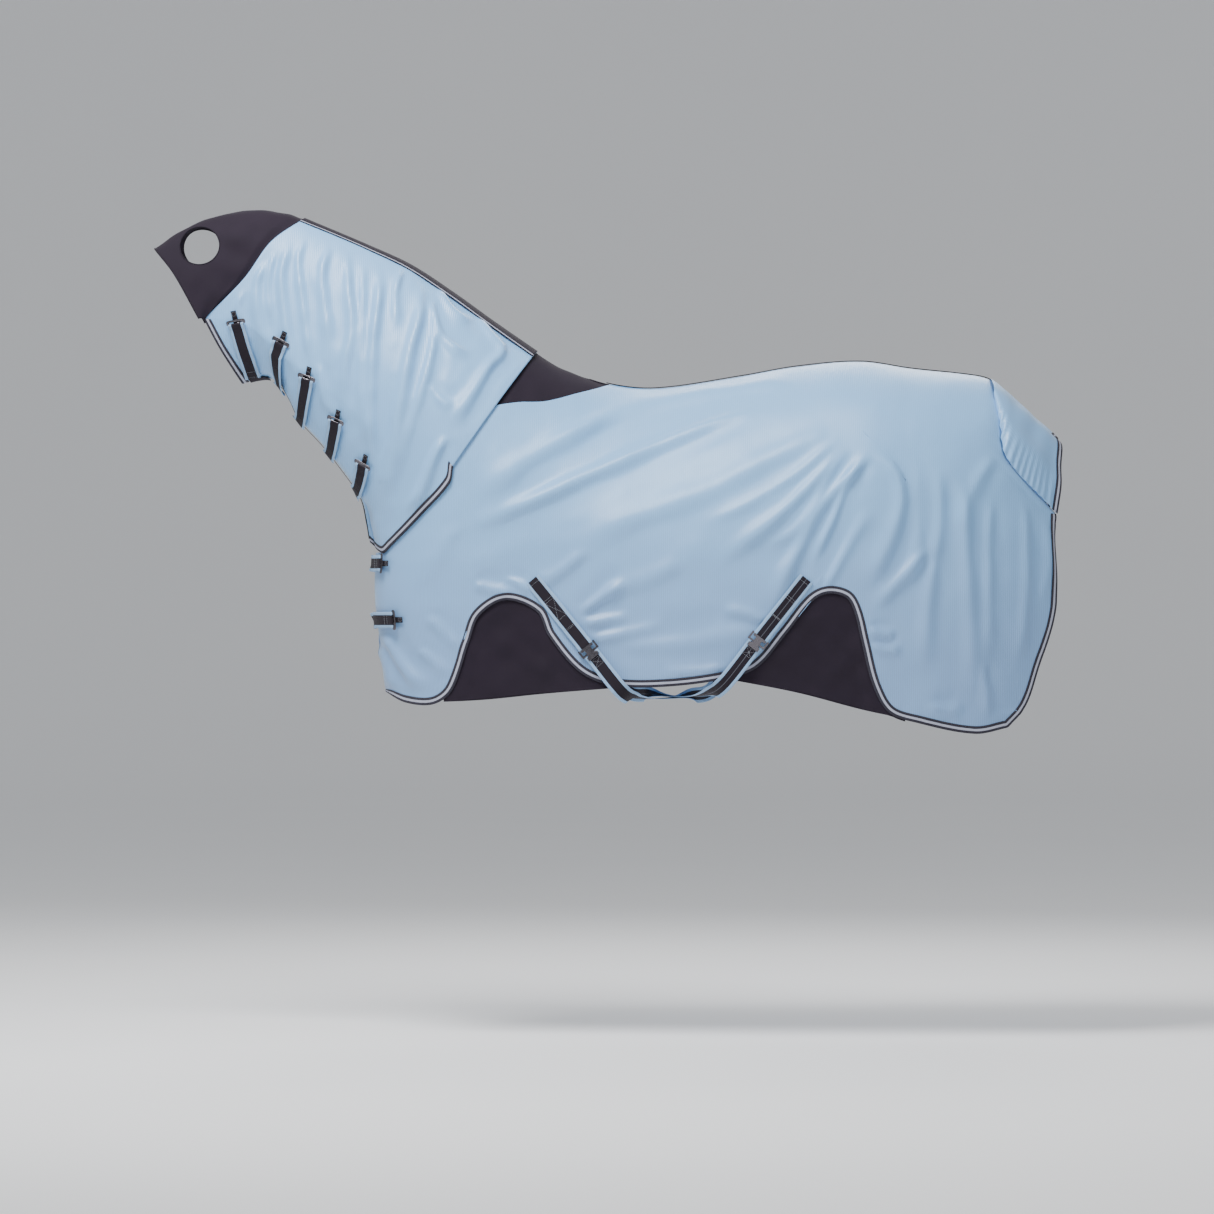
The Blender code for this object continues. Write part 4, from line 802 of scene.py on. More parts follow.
def ribbed_mesh():
    """Light blue polyester mesh: fine upright ribs, cross threads and a satin sheen, with painted shade that
    greys it towards the bottom.
    """
    look = settings()
    made, tree, shader = new_finish("ribbed_mesh", look.mesh_colour, look.mesh_roughness, sheen=0.12)
    place, across, down = flat_map(tree)
    objects = add_node(tree, "TexCoord").outputs["Object"]
    ribs = waves(tree, across, look.rib_pitch)
    threads = waves(tree, down, look.rib_pitch * 0.42)
    patches = noise(tree, objects, 5.0)
    grains = noise(tree, place, 420.0, detail=2.0)
    # Painted shade: the colour turns greyer towards the bottom by height, standing in for shading low down
    # and for a dark coat seen through the mesh; chance patches of tone are mixed into the same share.
    height_above = add_node(tree, "SeparateXYZ", {"Vector": objects}).outputs["Z"]
    low = add_node(tree, "MapRange", {"Value": height_above}, interpolation_type="SMOOTHSTEP")
    low.inputs["From Min"].default_value = -0.80
    low.inputs["From Max"].default_value = -0.15
    light, shade = look.mesh_colour, look.mesh_painted_shade
    painted_shade_and_mottle_share = maths(tree, "ADD", low.outputs[0], maths(tree, "MULTIPLY", patches, 0.35))
    tone = mixed(tree, painted_shade_and_mottle_share, shade, light)
    lifted = mixed(tree, maths(tree, "MULTIPLY", ribs, 0.30), tone, [min(c * 1.35, 1.0) for c in light])
    speckled = mixed(tree, maths(tree, "MULTIPLY", grains, 0.25), lifted, [c * 0.72 for c in light])
    tree.links.new(speckled, shader.inputs["Base Color"])
    rough = maths(tree, "ADD", maths(tree, "MULTIPLY", grains, 0.10), look.mesh_roughness - 0.05)
    tree.links.new(rough, shader.inputs["Roughness"])
    shader.inputs["Specular IOR Level"].default_value = 0.55
    height = maths(tree, "ADD", ribs, maths(tree, "MULTIPLY", threads, 0.4))
    height = maths(tree, "ADD", height, maths(tree, "MULTIPLY", grains, 0.5))
    bump(tree, shader, height, 0.0004, 0.55)
    return made


def stretch_knit():
    """Near-black aubergine stretch knit: matt, with fine courses."""
    look = settings()
    made, tree, shader = new_finish("stretch_knit", look.stretch_colour, 0.85, sheen=0.03)
    place, across, down = flat_map(tree)
    courses = waves(tree, across, 0.0022)
    loops = waves(tree, down, 0.0018)
    objects = add_node(tree, "TexCoord").outputs["Object"]
    patches = noise(tree, objects, 7.0)
    dark = [c * 0.75 for c in look.stretch_colour]
    light = [c * 1.5 for c in look.stretch_colour]
    tree.links.new(mixed(tree, patches, dark, light), shader.inputs["Base Color"])
    shader.inputs["Specular IOR Level"].default_value = 0.28
    height = maths(tree, "ADD", maths(tree, "MULTIPLY", courses, loops), noise(tree, place, 300.0))
    bump(tree, shader, height, 0.0003, 0.5)
    return made


def banded(name, centre, edge, share, line=None, roughness=0.78, pitch=0.0016):
    """Woven tape: a centre colour out to a share of the half-width, then the edge colour.

    A line is (colour, from, to), with the two places in shares of the width from the middle.
    """
    made, tree, shader = new_finish(name, centre, roughness, sheen=0.03)
    place, along, across = flat_map(tree)
    off = maths(tree, "ABSOLUTE", maths(tree, "SUBTRACT", across, 0.5))
    wear = noise(tree, place, 60.0)
    edge_share = maths(tree, "GREATER_THAN", maths(tree, "ADD", off, maths(tree, "MULTIPLY", wear, 0.012)),
                       share * 0.5 + 0.006)
    twill = waves(tree, maths(tree, "ADD", along, maths(tree, "MULTIPLY", across, 0.04)), pitch)
    inner = mixed(tree, wear, [c * 0.8 for c in centre], [min(c * 1.3, 1.0) for c in centre])
    outer = mixed(tree, wear, [c * 0.88 for c in edge], [min(c * 1.12, 1.0) for c in edge])
    colour = mixed(tree, edge_share, inner, outer)
    if line is not None:
        line_colour, low, high = line
        past, short = maths(tree, "GREATER_THAN", off, low), maths(tree, "LESS_THAN", off, high)
        colour = mixed(tree, maths(tree, "MULTIPLY", past, short), colour, line_colour)
    shaded = mixed(tree, maths(tree, "MULTIPLY", twill, 0.22), colour, [c * 0.55 for c in centre])
    tree.links.new(shaded, shader.inputs["Base Color"])
    shader.inputs["Specular IOR Level"].default_value = 0.20
    bump(tree, shader, maths(tree, "ADD", twill, wear), 0.00035, 0.6)
    return made


def nickel():
    """Nickel-plated steel, slightly worn and clouded."""
    base = settings().nickel_colour
    made, tree, shader = new_finish("plated_nickel", base, 0.27, metallic=1.0)
    objects = add_node(tree, "TexCoord").outputs["Object"]
    clouds = noise(tree, objects, 160.0, detail=4.0)
    tree.links.new(mixed(tree, clouds, [c * 0.72 for c in base], base), shader.inputs["Base Color"])
    rough = maths(tree, "ADD", maths(tree, "MULTIPLY", clouds, 0.22), 0.16)
    tree.links.new(rough, shader.inputs["Roughness"])
    bump(tree, shader, noise(tree, objects, 900.0), 0.00005, 0.4)
    return made


def thread(name, colour):
    made, tree, shader = new_finish(name, colour, 0.55, sheen=0.2)
    objects = add_node(tree, "TexCoord").outputs["Object"]
    fibres = noise(tree, objects, 900.0)
    tree.links.new(mixed(tree, fibres, [c * 0.7 for c in colour], colour), shader.inputs["Base Color"])
    return made


def finish(name):
    """A finish by name, made when it is first asked for."""
    found = bpy.data.materials.get(name)
    if found:
        return found
    look = settings()
    dark, light = look.webbing_colour, look.webbing_edge
    stripe, binding = look.binding_stripe, look.binding_colour
    cloths = {"ribbed_mesh": ribbed_mesh, "stretch_knit": stretch_knit, "plated_nickel": nickel}
    threads = {"light_thread": (0.42, 0.46, 0.52), "dark_thread": (0.05, 0.045, 0.06)}
    tapes = {
        "woven_webbing": (dark, light, 0.62),
        "webbing_lined": (dark, light, 0.62, ((0.12, 0.13, 0.16), -1.0, 0.016)),
        "webbing_plain": (dark, dark, 1.0),
        "striped_binding": (stripe, binding, 0.30),
        "crest_binding_tape": (binding, binding, 1.0, (stripe, 0.435, 0.472)),
        "dark_tape": (binding, binding, 1.0),
    }
    if name in cloths:
        return cloths[name]()
    if name in threads:
        return thread(name, threads[name])
    return banded(name, *tapes[name])


# ---------------------------------------------------------------- panels
def body_grid(columns, rows, side):
    place = body_place(*shares((0.0, 1.0, columns), (0.0, 1.0, rows)))
    return on_body(place[..., 0], place[..., 1], side)


def body_map(grid):
    x, y, z = grid[..., 0], np.abs(grid[..., 1]), grid[..., 2]
    across = x + half_width(x, z) - half_width(x, z, chest_round=False)
    down = TOP.at(TOP.share_at(x))[..., 1] - z + 0.4 * y
    return np.stack([across, down], axis=-1)


def make_body_panels():
    for word, side in SIDES:
        grid = body_grid(290, 120, side)
        normals = grid_normals(grid, (0, side, 0))
        lift = body_lift(grid[..., 0], grid[..., 2], side)
        panel = sheet_object("body_cloth_" + word, grid + normals * lift[..., None], (0, side, 0),
                             body_map(grid), CLOTH)
        finish_piece(panel, finish("ribbed_mesh"), "mesh_cloth", "sheet", "body_panel_" + word)
        declare(grid)


def neck_grid(u, v, side):
    """Points on the neck cover's form, from the (low, high, count) of both shares."""
    u, v = shares(u, v)
    return neck_point(u, v, np.full(u.shape, side))


def make_neck_panels():
    for word, side in SIDES:
        grid = neck_grid((0.0, 1.0, 180), (0.004, 0.996, 130), side)
        normals = grid_normals(grid, (0, side, 0))
        lift = neck_lift(grid[..., 0], grid[..., 2], side)
        down = np.cumsum(np.linalg.norm(np.diff(grid, axis=1, prepend=grid[:, :1]), axis=-1), axis=1)
        uvs = np.stack([grid[..., 0], down], axis=-1)
        panel = sheet_object("neck_cloth_" + word, grid + normals * lift[..., None], (0, side, 0), uvs,
                             CLOTH)
        finish_piece(panel, finish("ribbed_mesh"), "mesh_cloth", "sheet", "neck_panel_" + word)
        declare(grid)


def make_gussets():
    for piece, arch, foot_points in (("shoulder_gusset_", SHOULDER_ARCH, SHOULDER_GUSSET_FOOT),
                                     ("flank_gusset_", FLANK_ARCH, FLANK_GUSSET_FOOT)):
        foot_line = Line(foot_points)
        crown = HEM.at(np.linspace(arch[0], arch[1], 120))
        foot = foot_line.at(foot_line.share_at(crown[:, 0]))
        foot[:, 1] = np.minimum(foot[:, 1], crown[:, 1] - 0.5 * SEAM_LAP)
        crown = crown + np.array((0.0, 0.6 * SEAM_LAP))
        t = np.linspace(0.0, 1.0, 40)[None, :, None]
        place = crown[:, None, :] * (1.0 - t) + foot[:, None, :] * t
        x, z = place[..., 0], place[..., 1]
        for word, side in SIDES:
            grid = on_body(x, z, side)
            normals = body_normal(x, z, side)
            drop = np.abs(z - crown[:, None, 1])
            lift = GUSSET_LIFT + ripple(x, z, 21 + side, 0.07, 0.0014) * smooth(drop / 0.05)
            slack = np.sin(np.linspace(0.0, math.pi, len(crown)))[:, None]
            lift = lift - 0.006 * slack * smooth(drop / 0.16)
            knit = sheet_object(piece + "knit_" + word, grid + normals * lift[..., None], (0, side, 0),
                                np.stack([x, z], axis=-1), KNIT)
            finish_piece(knit, finish("stretch_knit"), "stretch_cloth", "sheet", piece + word)
            declare(grid, foot_width=True)


def make_withers_panel():
    """Saddle-shaped stretch panel over the withers, lapped under the blue cloth at both its seams."""
    seam, edge = Line(NECK_SEAM_POINTS[:2]), Line(WITHER_EDGE_POINTS)
    share, across = shares((-0.05, 0.985, 70), (-1.0, 1.0, 90))
    crown = TOP.at(TOP.share_at(seam.at(0.0)[0] + (edge.at(1.0)[0] - seam.at(0.0)[0]) * share))
    low = edge.at(np.maximum(share, 0.0)) - np.array((0.0, 0.010))
    low[..., 0] += np.minimum(share, 0.0) * 0.28
    fall = (1.0 - np.cos(0.5 * math.pi * np.abs(across)))[..., None]
    place = crown * (1.0 - fall) + low * fall
    x, z = place[..., 0], place[..., 1]
    grid = on_body(x, z, np.sign(across))
    normals = grid_normals(grid, (0, 0, 1))
    lift = WITHERS_LIFT + ripple(x, grid[..., 1], 31, 0.06, 0.0005)
    lift = lift - 0.0008 * (1.0 - smooth(np.abs(across) / 0.05))
    flat = np.stack([x, grid[..., 1] - z], axis=-1)
    panel = sheet_object("withers_panel", grid + normals * lift[..., None], (0, 0, 1), flat, KNIT)
    finish_piece(panel, finish("stretch_knit"), "stretch_cloth", "sheet", "wither_panel")
    declare(grid)


def hood_surface():
    """The hood's smooth form, and the same grid with its creases, lapped past the neck seam."""
    u, across = shares((0.0, 1.015, 110), (-1.0, 1.0, 150))
    grid = hood_point(np.minimum(u, 1.0), across, np.full(u.shape, RIGHT))
    past = np.maximum(u - 1.0, 0.0)[..., None]
    grid = grid + unit(np.gradient(grid, axis=0)[-4:-3]) * past * HOOD_TOP.length
    normals = grid_normals(grid, (0, 0, 1))
    crown = np.exp(-(across / 0.06) ** 2)
    lift = 0.0048 * (1.0 - smooth((u - 0.90) / 0.10)) - 0.0009
    x, y, z = np.moveaxis(grid, -1, 0)
    lift = lift + ripple(x, z + y, 41, 0.075, 0.0012) * smooth((1.0 - u) / 0.15)
    creases = 0.0012 * np.sin(70.0 * (z + 0.6 * x)) * smooth((u - 0.35) / 0.3)
    lift = lift + creases * (1.0 - crown) * smooth((1.0 - u) / 0.2)
    return grid, grid + normals * lift[..., None]


def cut_ear_holes(hood):
    for side in (LEFT, RIGHT):
        near, far = side * 0.5 * EAR_BRIDGE, side * HEAD_WIDTH
        place = (EAR_HOLE_CENTRE[0], 0.5 * (near + far), EAR_HOLE_CENTRE[1])
        bpy.ops.object.select_all(action="DESELECT")
        bpy.ops.mesh.primitive_cylinder_add(vertices=64, radius=0.5, depth=1.0, location=place,
                                            rotation=(0.5 * math.pi, 0.0, 0.0))
        cutter = bpy.context.active_object
        cutter.scale = (EAR_HOLE_SIZE[0], EAR_HOLE_SIZE[1], abs(far - near))
        bpy.ops.object.transform_apply(location=True, rotation=True, scale=True)
        apply_modifier(hood, "BOOLEAN", operation="DIFFERENCE", object=cutter)
        bpy.data.objects.remove(cutter, do_unlink=True)


def tube_object(name, points, radius, sides=8, closed=True):
    """A round rolled edge along a line of points."""
    turns = np.linspace(0.0, math.tau, sides, endpoint=False)
    if closed:
        along = unit(np.roll(points, -1, axis=0) - np.roll(points, 1, axis=0))
    else:
        along = unit(np.gradient(points, axis=0))
    sideways = unit(np.cross(along, unit(points - points.mean(axis=0))))
    upwards = np.cross(sideways, along)
    rings = points[:, None, :] + radius * (np.cos(turns)[None, :, None] * sideways[:, None, :]
                                           + np.sin(turns)[None, :, None] * upwards[:, None, :])
    if closed:
        rings = np.concatenate((rings, rings[:1]))
    rows = len(rings)
    uvs = np.stack(shares((0.0, 1.0, rows), (0.0, 1.0 - 1.0 / sides, sides)), axis=-1)
    piece = add_mesh(name, rings, grid_faces(rows, sides, close_columns=True), uvs)

    def close_up(build):
        bmesh.ops.remove_doubles(build, verts=build.verts, dist=1e-6)
        if not closed:
            bmesh.ops.holes_fill(build, edges=build.edges, sides=sides + 2)

    edit_mesh(piece, close_up)
    piece.data.shade_smooth()
    return piece


def make_poll_hood():
    grid, shaped = hood_surface()
    flat = np.stack([grid[..., 0], grid[..., 2] + np.abs(grid[..., 1])], axis=-1)
    hood = sheet_object("poll_hood_knit", shaped, (0, 0, 1), flat, HOOD_KNIT)
    surface = BVHTree.FromPolygons([tuple(p) for p in shaped.reshape(-1, 3)],
                                   grid_faces(*grid.shape[:2]).tolist())
    cut_ear_holes(hood)
    hood.data.shade_smooth()
    for word, side in SIDES:
        points = []
        for turn in np.linspace(0.0, math.tau, 72, endpoint=False):
            x = EAR_HOLE_CENTRE[0] + 0.5 * EAR_HOLE_SIZE[0] * math.cos(turn)
            z = EAR_HOLE_CENTRE[1] + 0.5 * EAR_HOLE_SIZE[1] * math.sin(turn)
            hit = surface.ray_cast(Vector((x, side * 0.5 * EAR_BRIDGE, z)), Vector((0, side, 0)))[0]
            if hit is not None:
                points.append(tuple(hit))
        points = np.array(points)
        gap = np.linalg.norm(np.roll(points, -1, axis=0) - points, axis=1)
        start = int(np.argmax(gap)) + 1
        whole = gap.max() < 0.02
        hem = tube_object("ear_hem_" + word, np.roll(points, -start, axis=0), EAR_HEM_RADIUS, closed=whole)
        finish_piece(hem, finish("dark_tape"), "stretch_cloth", "sheet")
    hem = tube_object("brow_hem", resample(shaped[0], 0.006)[0], BROW_HEM_RADIUS, closed=False)
    finish_piece(hem, finish("dark_tape"), "stretch_cloth", "sheet")
    finish_piece(hood, finish("stretch_knit"), "stretch_cloth", "sheet", "poll_hood")
    declare(grid)


def flap_grid(columns, rows, start=0.0, end=1.0):
    """The flap's smooth form, the same grid puckered along its seams, and its normals."""
    along, across = shares((start, end, rows), (-1.0, 1.0, columns))
    grid = flap_point(across, along)
    normals = grid_normals(grid, (0, 0, 1))
    seam = 1.0 - smooth((1.0 - np.abs(across)) / 0.35)
    puckers = np.sin(along * 88.0 + 3.0 * np.sin(along * 9.0))
    lift = 0.0034 + 0.0022 * seam * puckers * smooth(along / 0.25)
    lift = lift + ripple(along * 0.25, across * 0.2, 51, 0.07, 0.0012) * smooth(along / 0.3)
    lift = lift + 0.0030 * np.sin(across * 14.0) * smooth((along - 0.3) / 0.5) * (1.0 - seam)
    return grid, grid + normals * lift[..., None], normals


def make_tail_flap():
    grid, shaped, _ = flap_grid(150, 90)
    length = np.cumsum(np.linalg.norm(np.diff(grid, axis=0, prepend=grid[:1]), axis=-1), axis=0)
    flap = sheet_object("tail_cover_cloth", shaped, (0, 0, 1), np.stack([grid[..., 1], length], -1), CLOTH)
    finish_piece(flap, finish("ribbed_mesh"), "mesh_cloth", None, "tail_flap")
    declare(grid)
    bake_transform(flap)
    _, edge, normals = flap_grid(150, 60, 0.70, 1.0)
    sideways = unit(edge[-1] - edge[-6])
    piece = binding_object("tail_cover_binding", edge[-1], -sideways, normals[-1])
    finish_piece(piece, finish("striped_binding"), "binding_tape", "tail_cover", "tail_flap_binding")


# ---------------------------------------------------------------- bindings
def binding_object(name, edge, inward, normals):
    """Striped tape folded over an edge: edge points, the way into the cloth and outward normals."""
    points, share = resample(edge, TAPE_STEP)
    lengths = run_lengths(edge)
    places = share * lengths[-1]
    inward = unit(read_off(places, lengths, inward))
    normals = unit(read_off(places, lengths, normals))
    round_edge, reach = TAPE_LAP + TAPE_WALL, BINDING_WIDTH - TAPE_TURN
    outer = [(BINDING_WIDTH * s - TAPE_TURN, round_edge + 0.0002 * math.sin(math.pi * s))
             for s in (1.0, 0.8, 0.6, 0.4, 0.2, 0.06)]
    turn = [(-TAPE_TURN - round_edge * math.sin(a), round_edge * math.cos(a))
            for a in (0.5, 1.1, 1.57, 2.1, 2.6)]
    under = [(x, -z) for x, z in outer[::-1]]
    inner = [(reach, -TAPE_LAP), (0.001, -TAPE_LAP), (0.001, TAPE_LAP), (reach, TAPE_LAP)]
    return band_object(name, points, inward, normals, outer + turn + under + inner)


def hem_places():
    """Close points along the edge that is bound: down the tail edge, and along the hem to the chest."""
    rear = REAR.at(np.linspace(FLAP_SEAM_SHARE + 0.002, 1.0, 120))
    hem = HEM.at(np.linspace(1.0, 0.004, 700))
    places = resample(np.concatenate((rear, hem[1:])), HEM_STEP)[0]
    chest = HEM.at(0.004 * np.linspace(0.9, 0.12, 12) ** 2)   # closer steps round the front of the chest
    return np.concatenate((places, chest))


def body_surface(x, z, side):
    """Points and normals of the body panel's folded cloth at places in side view."""
    normals = body_normal(x, z, side)
    lift = body_lift(x, z, side)
    return on_body(x, z, side) + normals * lift[..., None], normals


def make_edge_bindings():
    places = hem_places()
    along = unit(np.gradient(places, axis=0))
    corner = np.stack([along[:, 1], -along[:, 0]], axis=-1)
    for _ in range(6):
        corner[1:-1] = unit(corner[:-2] + 2.0 * corner[1:-1] + corner[2:])
    for word, side in SIDES:
        edge, normals = body_surface(places[:, 0], places[:, 1], side)
        inner = places + corner * BINDING_WIDTH
        reach, _ = body_surface(inner[:, 0], inner[:, 1], side)
        inward = unit(reach - edge)
        binding = binding_object("edge_tape_" + word, edge, inward, normals)
        finish_piece(binding, finish("striped_binding"), "binding_tape", "sheet", "edge_binding_" + word)
        line = edge + inward * (BINDING_WIDTH - THREAD_INSET) + normals * THREAD_LIFT
        stitches("edge_thread_" + word, [(line, normals)], finish("dark_thread"), "sheet")


def neck_surface(u, v, side):
    """Points and normals of the neck cover's folded cloth."""
    sides = np.full(np.shape(u), side)
    along = neck_point(u + SLOPE_STEP, v, sides) - neck_point(u - SLOPE_STEP, v, sides)
    around = neck_point(u, v + SLOPE_STEP, sides) - neck_point(u, v - SLOPE_STEP, sides)
    normals = unit(np.cross(along, around)) * side
    points = neck_point(u, v, sides)
    return points + normals * neck_lift(points[..., 0], points[..., 2], side)[..., None], normals


def neck_v(share):
    """The v of the neck cover at a share of its front or rear edge."""
    return math.acos(1.0 - 2.0 * share) / math.pi


def make_neck_bindings():
    bib_v = neck_v(Line(NECK_SEAM_POINTS).length / NECK_REAR.length)
    throat_v = neck_v(NECK_FRONT_HOOD_SHARE)
    for word, side in SIDES:
        for stem, u, low, high, step in (("bib", 1.0, bib_v - 0.002, 0.985, -0.03),
                                         ("throat", 0.0, throat_v, 0.99, 0.03)):
            v = np.linspace(low, high, 240)
            edge, edge_normals = neck_surface(np.full(v.shape, u), v, side)
            back, back_normals = neck_surface(np.full(v.shape, u + step), v, side)
            tape = binding_object(f"{stem}_tape_{word}", edge, unit(back - edge),
                                  back_normals if stem == "bib" else edge_normals)
            finish_piece(tape, finish("striped_binding"), "binding_tape", "sheet", f"{stem}_binding_{word}")
    crest = neck_grid((0.0, 1.0, 160), (-0.105, 0.105, 15), RIGHT)
    tape = tape_object("crest_tape", crest, (0, 0, 1), CREST_TAPE_LIFT)
    finish_piece(tape, finish("crest_binding_tape"), "binding_tape", "sheet", "crest_binding")
    under = neck_grid((0.165, 0.985, 150), (0.955, 0.985, 7), RIGHT)
    tape = tape_object("under_neck_tape", under, (0, 1, -1), UNDER_TAPE_LIFT)
    finish_piece(tape, finish("dark_tape"), "binding_tape", "sheet", "under_neck_binding")
    band = neck_grid((0.035, 0.130, 40), (0.915, 1.085, 70), LEFT)
    normals = grid_normals(band, (0, 0, -1))
    piece = sheet_object("throat_band_knit", band + normals * THROAT_BAND_LIFT, (0, 0, -1), band[..., :2],
                         THROAT_KNIT)
    finish_piece(piece, finish("stretch_knit"), "stretch_cloth", "sheet", "throat_band")


def make_spine_tape():
    x = np.linspace(SPINE_POINTS[0][0] - 0.01, SPINE_POINTS[-1][0] + 0.004, 320)
    crown = TOP.at(TOP.share_at(x))
    points = np.stack([x, np.zeros_like(x), crown[:, 1]], axis=-1)
    _, sideways, normals = band_frame(points, np.tile((0.0, 0.0, 1.0), (len(x), 1)))
    tape = band_object("spine_seam_tape", points + normals * SPINE_TAPE_LIFT, sideways, normals,
                       web_profile(*SPINE_TAPE_SIZE))
    finish_piece(tape, finish("dark_tape"), "binding_tape", "sheet", "spine_tape")


# ---------------------------------------------------------------- webbing and metal
def copy_node(node, name):
    """A new piece with the shape of a packed metal part, its loose triangles joined up again."""
    piece = bpy.data.objects.new(name, frame["nodes"][node].data.copy())
    bpy.context.scene.collection.objects.link(piece)

    def join_up(build):
        bmesh.ops.remove_doubles(build, verts=build.verts, dist=2e-5)
        bmesh.ops.dissolve_limit(build, angle_limit=math.radians(1.0), verts=build.verts, edges=build.edges)

    edit_mesh(piece, join_up)
    return piece


def metal_part(node, name, body):
    piece = copy_node(node, name)
    apply_modifier(piece, "BEVEL", width=METAL_EDGE, segments=3, limit_method="ANGLE", angle_limit=0.5)
    piece.data.shade_smooth()
    apply_modifier(piece, "WEIGHTED_NORMAL", keep_sharp=False)
    return finish_piece(piece, finish("plated_nickel"), "nickel", body, node)


def wire_loop(node, name, body):
    """The loop of round wire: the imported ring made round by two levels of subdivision."""
    piece = copy_node(node, name)
    apply_modifier(piece, "SUBSURF", levels=2, render_levels=2)
    piece.data.shade_smooth()
    return finish_piece(piece, finish("plated_nickel"), "nickel", body, node)


def looped_end(points, normals, radius=LOOP_RADIUS, back=LOOP_BACK):
    """Takes webbing round its wire loop: up over the wire, round it and back underneath."""
    along, _, normals = band_frame(points, normals)
    lengths = run_lengths(points)
    rise = radius * smooth((lengths - lengths[-1] + back) / back)
    top = points + normals * rise[:, None]
    way, out = along[-1], normals[-1]
    axis = points[-1] + way * (WIRE + WIRE_CLEARANCE)
    turns = np.linspace(0.15, math.pi, 9)
    wrap = [axis + out * (radius * math.cos(a)) + way * (radius * math.sin(a)) for a in turns]
    tail = [axis - out * radius * (1.0 - 0.25 * s) - way * back * s for s in (0.35, 0.7, 1.0)]
    wrap_normals = [out * math.cos(a) + way * math.sin(a) for a in turns]
    return np.concatenate((top, wrap, tail)), np.concatenate((normals, wrap_normals, [-out] * len(tail)))


def end_box(points, normals, width, start, length, lift=0.00105, cross=False):
    """Stitch lines on webbing: a box from a place along it, and a cross inside the box if asked."""
    _, sideways, normals = band_frame(points, normals)
    lengths = run_lengths(points)

    def at(place, across):
        middle, aside, out = (read_off(place, lengths, part) for part in (points, sideways, normals))
        return middle + aside * across[:, None] + out * lift, out

    half = 0.5 * width
    run, reach = np.linspace(start, start + length, 24), np.linspace(-half, half, 24)
    lines = [at(run, np.full(24, edge)) for edge in (-half, half)]
    lines += [at(np.full(24, place), reach) for place in (start, start + length)]
    if cross:
        lines += [at(run, reach), at(run, reach[::-1])]
    return lines


def catch_object(stem, word, points, normals):
    """The narrow webbing that the wire loop of a strap hooks on to. Returns its stitch lines."""
    along = unit(points[-1] - points[-2])
    normal = unit(np.cross(np.cross(along, normals[-1]), along))
    centre = points[-1] + along * (0.5 * LOOP_DEPTH + WIRE + WIRE_CLEARANCE)
    low = centre - normal * (TAB_LIFT - CATCH_LIFT) - along * (0.5 * LOOP_DEPTH)
    path = np.array([low + along * (LOOP_TAB_LENGTH * t) for t in np.linspace(0.0, 1.0, 14)])
    normals = np.tile(normal, (len(path), 1))
    piece = web_object(f"{stem}_catch_web_{word}", path, normals, LOOP_TAB_WIDTH, CATCH_WEB)
    finish_piece(piece, finish("webbing_plain"), "webbing", "sheet", f"{stem}_catch_{word}")
    return end_box(path, normals, LOOP_TAB_WIDTH - 0.004, LOOP_TAB_LENGTH - 0.013, 0.010, lift=0.0009)


def fastening(stem, word, node, body, points, normals, boxes):
    """A strap and its wire loop, stitched in boxes of (start, length).

    A start below 0 is counted back from the loop.
    """
    dense, share = resample(points, WEB_STEP)
    dense_normals = unit(read_off(share, np.linspace(0.0, 1.0, len(normals)), normals))
    strap = web_object(f"{stem}_web_{word}", *looped_end(dense, dense_normals))
    finish_piece(strap, finish("woven_webbing"), "webbing", body, node)
    wire_loop(f"{stem}_loop_{word}", f"{stem}_wire_{word}", body)
    lines = []
    for start, length in boxes:
        start = start if start > 0.0 else len(dense) * WEB_STEP + start
        lines += end_box(dense, dense_normals, WEB_WIDTH - BOX_INSET, start, length)
    stitches(f"{stem}_thread_{word}", lines, finish("light_thread"), body)


def neck_place(x, z):
    """The (u, v) of a place in side view on the neck cover."""
    u, v = shares((0.0, 1.0, 301), (0.3, 1.0, 301))
    points = neck_point(u, v, np.full(u.shape, LEFT))
    best = np.argmin((points[..., 0] - x) ** 2 + (points[..., 2] - z) ** 2)
    return u.ravel()[best], v.ravel()[best]


def neck_form(u, v):
    """Points and normals of the neck cover's smooth form, running on past the underside's middle."""
    side = np.where(v > 1.0, RIGHT, LEFT)
    inner = np.where(v > 1.0, 2.0 - v, v)
    along = neck_point(u + SLOPE_STEP, inner, side) - neck_point(u - SLOPE_STEP, inner, side)
    around = neck_point(u, inner + SLOPE_STEP, side) - neck_point(u, inner - SLOPE_STEP, side)
    return neck_point(u, v, np.full(np.shape(u), LEFT)), unit(np.cross(along, around)) * side[..., None]


def make_neck_tabs():
    catch_lines = []
    for number, (lower, upper, sewn) in enumerate(NECK_TABS, 1):
        start_u = neck_place(*lower)[0]
        end_u, end_v = neck_place(*upper)
        t = np.linspace(0.0, 1.0, 10)
        points, normals = neck_form(start_u + (end_u - start_u) * t, sewn + (end_v - sewn) * t)
        points = points + normals * TAB_LIFT
        catch_lines += catch_object("neck_tab", number, points, normals)
        fastening("neck_tab", number, f"neck_tab_{number}", f"neck_fastening_{number}", points, normals,
                  ((0.006, 0.020),))
    stitches("neck_catch_thread", catch_lines, finish("light_thread"), "sheet")


